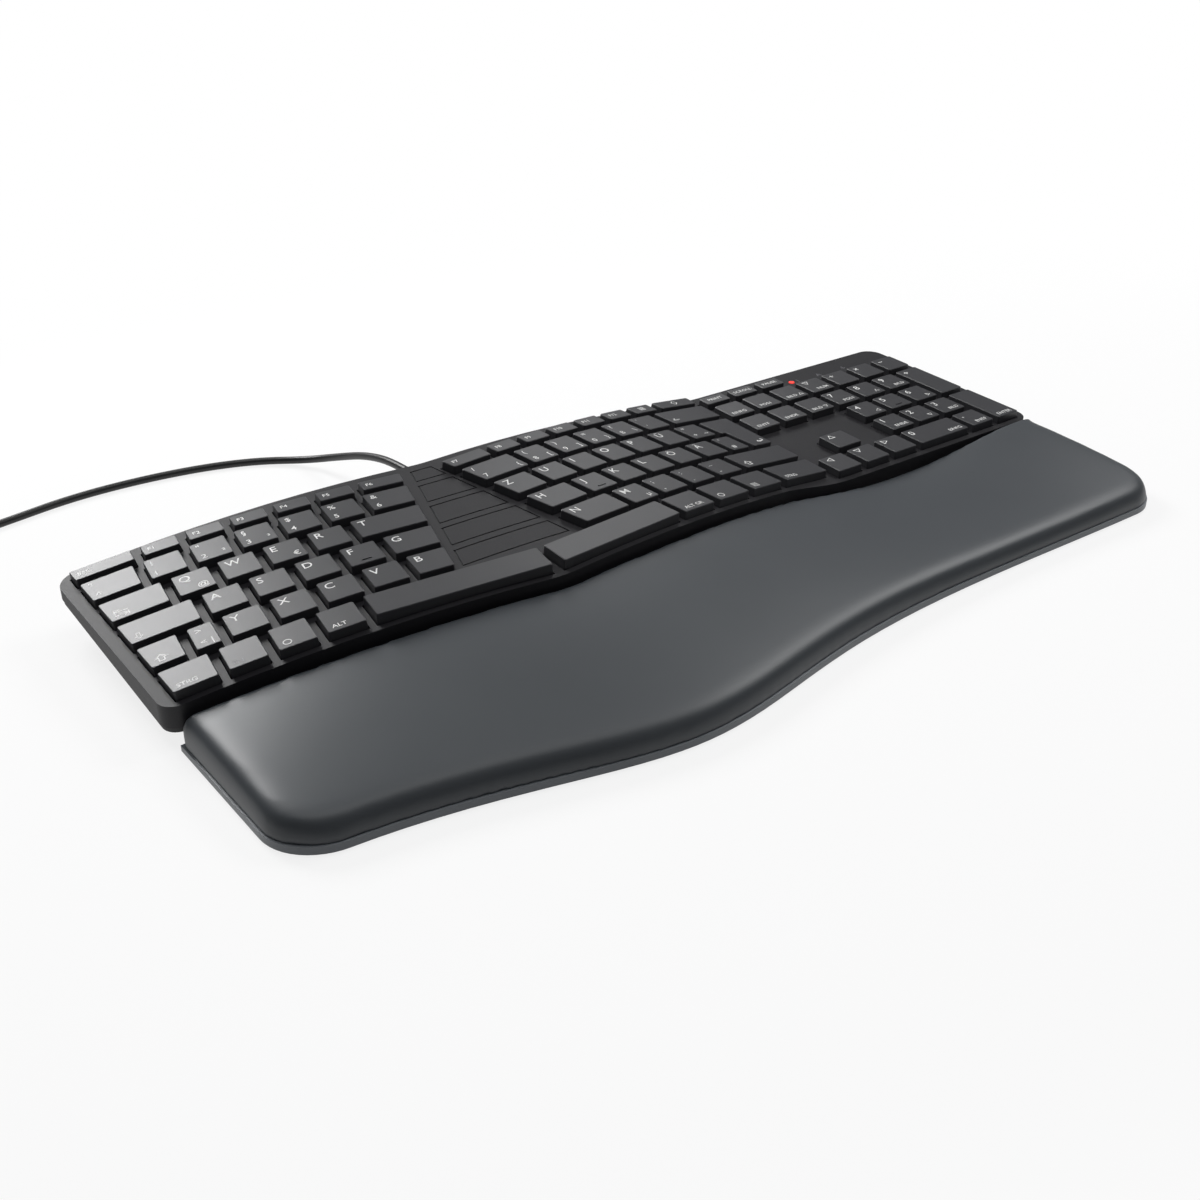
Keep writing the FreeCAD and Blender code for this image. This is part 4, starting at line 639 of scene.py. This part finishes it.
def stamp(whole, mesh, matrix):
    """Adds one mark to a print."""
    piece = mesh.copy()
    piece.transform(matrix)
    whole.from_mesh(piece)
    bpy.data.meshes.remove(piece)


def add_print(name, whole, ink):
    mesh = bpy.data.meshes.new(name)
    whole.to_mesh(mesh)
    whole.free()
    item = bpy.data.objects.new(name, mesh)
    bpy.context.scene.collection.objects.link(item)
    dress(item, ink)
    return item


def print_legends(table, suffix, ink):
    for node, keys in table.items():
        tops = key_tops(node)
        assert len(tops) == len(keys), node
        whole = bmesh.new()
        for top, marks in zip(tops, keys):
            for corner, text, height in marks:
                mesh, width = printed_mark(text, height)
                stamp(whole, mesh, top.place(width, height * MM, corner))
        item = add_print(node + suffix, whole, ink)
        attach(item, node)


def print_on_cover(signs, ink):
    """Small lock signs on the cover, beside the lamp."""
    cover = frame["nodes"]["top_cover"]
    whole = bmesh.new()
    for text, xi, y in signs:
        mesh, _ = printed_mark(text, SIGN)
        start = at(xi, y, ABOVE_COVER) * MM
        found, place, normal, _ = cover.ray_cast(start, Vector((0, 0, -1)))
        assert found, text
        across = Vector((1, 0, 0))
        across = (across - normal * across.dot(normal)).normalized()
        matrix = Matrix((across, normal.cross(across), normal)).transposed().to_4x4()
        matrix.translation = place + normal * (INK_LIFT * MM)
        stamp(whole, mesh, matrix)
    item = add_print("lock_signs", whole, ink)
    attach(item, "case")


white_ink = speckled("ink_white", "#dededc", "#e8e8e6", 0.5, 0.4, 0.004)
dim_ink = speckled("ink_dim", "#5c5c60", "#646468", 0.5, 0.4, 0.004)
print_legends(LEGENDS, "_print", white_ink)
print_legends(DIM_LEGENDS, "_dim_print", dim_ink)
print_on_cover(COVER_SIGNS, dim_ink)


# Floor and light, in metres

FLOOR_SIZE = 8.0
FLOOR_SQUEEZE = (0.72, 1.0, 1.0)
FLOOR_NEAR = 0.28
FLOOR_FAR = 0.5
FLOOR_GLOW = 0.82
WORLD_LEVEL = 0.16
WORLD_TINT = (0.95, 0.97, 1.0, 1)


def add_floor():
    """White paper floor: it keeps a faint shadow near the object and fades to plain white."""
    deselect()
    bpy.ops.mesh.primitive_plane_add(size=FLOOR_SIZE, location=(0, 0, 0))
    floor = bpy.context.active_object
    floor.name = "floor"
    material, shader, place = new_material("floor_paper")
    join = material.node_tree.links.new
    shader.inputs["Base Color"].default_value = linear("#f2f2f2")
    shader.inputs["Roughness"].default_value = 0.9
    bounce = add_node(material, "ShaderNodeBsdfDiffuse", values={"Color": linear("#8c8c8c")})
    glow = add_node(material, "ShaderNodeEmission", values={"Strength": 1.0})
    squeeze = add_node(material, "ShaderNodeMapping", values={"Scale": FLOOR_SQUEEZE},
                       links={"Vector": (place, "Object")})
    reach = add_node(material, "ShaderNodeVectorMath", {"operation": "LENGTH"},
                     links={"Vector": (squeeze, "Vector")})
    share = add_node(material, "ShaderNodeMapRange", {"interpolation_type": "SMOOTHSTEP"},
                     values={"From Min": FLOOR_NEAR, "From Max": FLOOR_FAR,
                             "To Min": FLOOR_GLOW, "To Max": 1.0},
                     links={"Value": (reach, "Value")})
    seen = add_node(material, "ShaderNodeMixShader", links={"Fac": (share, "Result")})
    join(shader.outputs["BSDF"], seen.inputs[1])
    join(glow.outputs["Emission"], seen.inputs[2])
    # Camera and gloss see the white floor, and what lights the object is a plain grey one
    path = add_node(material, "ShaderNodeLightPath")
    looks = add_node(material, "ShaderNodeMath", {"operation": "MAXIMUM"})
    join(path.outputs["Is Camera Ray"], looks.inputs[0])
    join(path.outputs["Is Glossy Ray"], looks.inputs[1])
    whole = add_node(material, "ShaderNodeMixShader", links={"Fac": (looks, "Value")})
    join(bounce.outputs["BSDF"], whole.inputs[1])
    join(seen.outputs["Shader"], whole.inputs[2])
    out = [n for n in material.node_tree.nodes if n.type == "OUTPUT_MATERIAL"][0]
    join(whole.outputs["Shader"], out.inputs["Surface"])
    dress(floor, material)


def add_world():
    """Plain white for the camera, and a weak cool light for the object."""
    world = bpy.data.worlds.new("studio")
    bpy.context.scene.world = world
    world.use_nodes = True
    tree = world.node_tree
    tree.nodes.clear()
    seen = tree.nodes.new("ShaderNodeBackground")
    seen.inputs["Color"].default_value = (1, 1, 1, 1)
    seen.inputs["Strength"].default_value = 1.0
    lit = tree.nodes.new("ShaderNodeBackground")
    lit.inputs["Color"].default_value = WORLD_TINT
    lit.inputs["Strength"].default_value = WORLD_LEVEL
    path = tree.nodes.new("ShaderNodeLightPath")
    mix = tree.nodes.new("ShaderNodeMixShader")
    out = tree.nodes.new("ShaderNodeOutputWorld")
    tree.links.new(path.outputs["Is Camera Ray"], mix.inputs[0])
    tree.links.new(lit.outputs[0], mix.inputs[1])
    tree.links.new(seen.outputs[0], mix.inputs[2])
    tree.links.new(mix.outputs[0], out.inputs["Surface"])


def add_softbox(name, place, target, width, height, power):
    data = bpy.data.lights.new(name, "AREA")
    data.shape = "RECTANGLE"
    data.size = width
    data.size_y = height
    data.energy = power
    lamp = bpy.data.objects.new(name, data)
    lamp.location = place
    lamp.rotation_euler = (Vector(target) - Vector(place)).to_track_quat("-Z", "Y").to_euler()
    bpy.context.scene.collection.objects.link(lamp)


# Name, place, where it points, width, height and power in watts
SOFTBOXES = [
    ("back_softbox", (-0.22, 1.15, 0.85), (-0.25, 0.0, 0.0), 0.5, 0.5, 13.5),
    ("inner_softbox", (0.75, 1.0, 0.75), (0.0, 0.0, 0.0), 0.4, 0.4, 1.5),
    ("right_softbox", (1.1, 0.0, 1.1), (0.1, -0.1, 0.0), 0.7, 0.5, 8.0),
    ("top_softbox", (0.0, 0.0, 1.7), (0.0, 0.0, 0.0), 1.3, 0.9, 6.0),
]

add_floor()
add_world()
for row in SOFTBOXES:
    add_softbox(*row)

bpy.context.scene.view_settings.view_transform = "Standard"
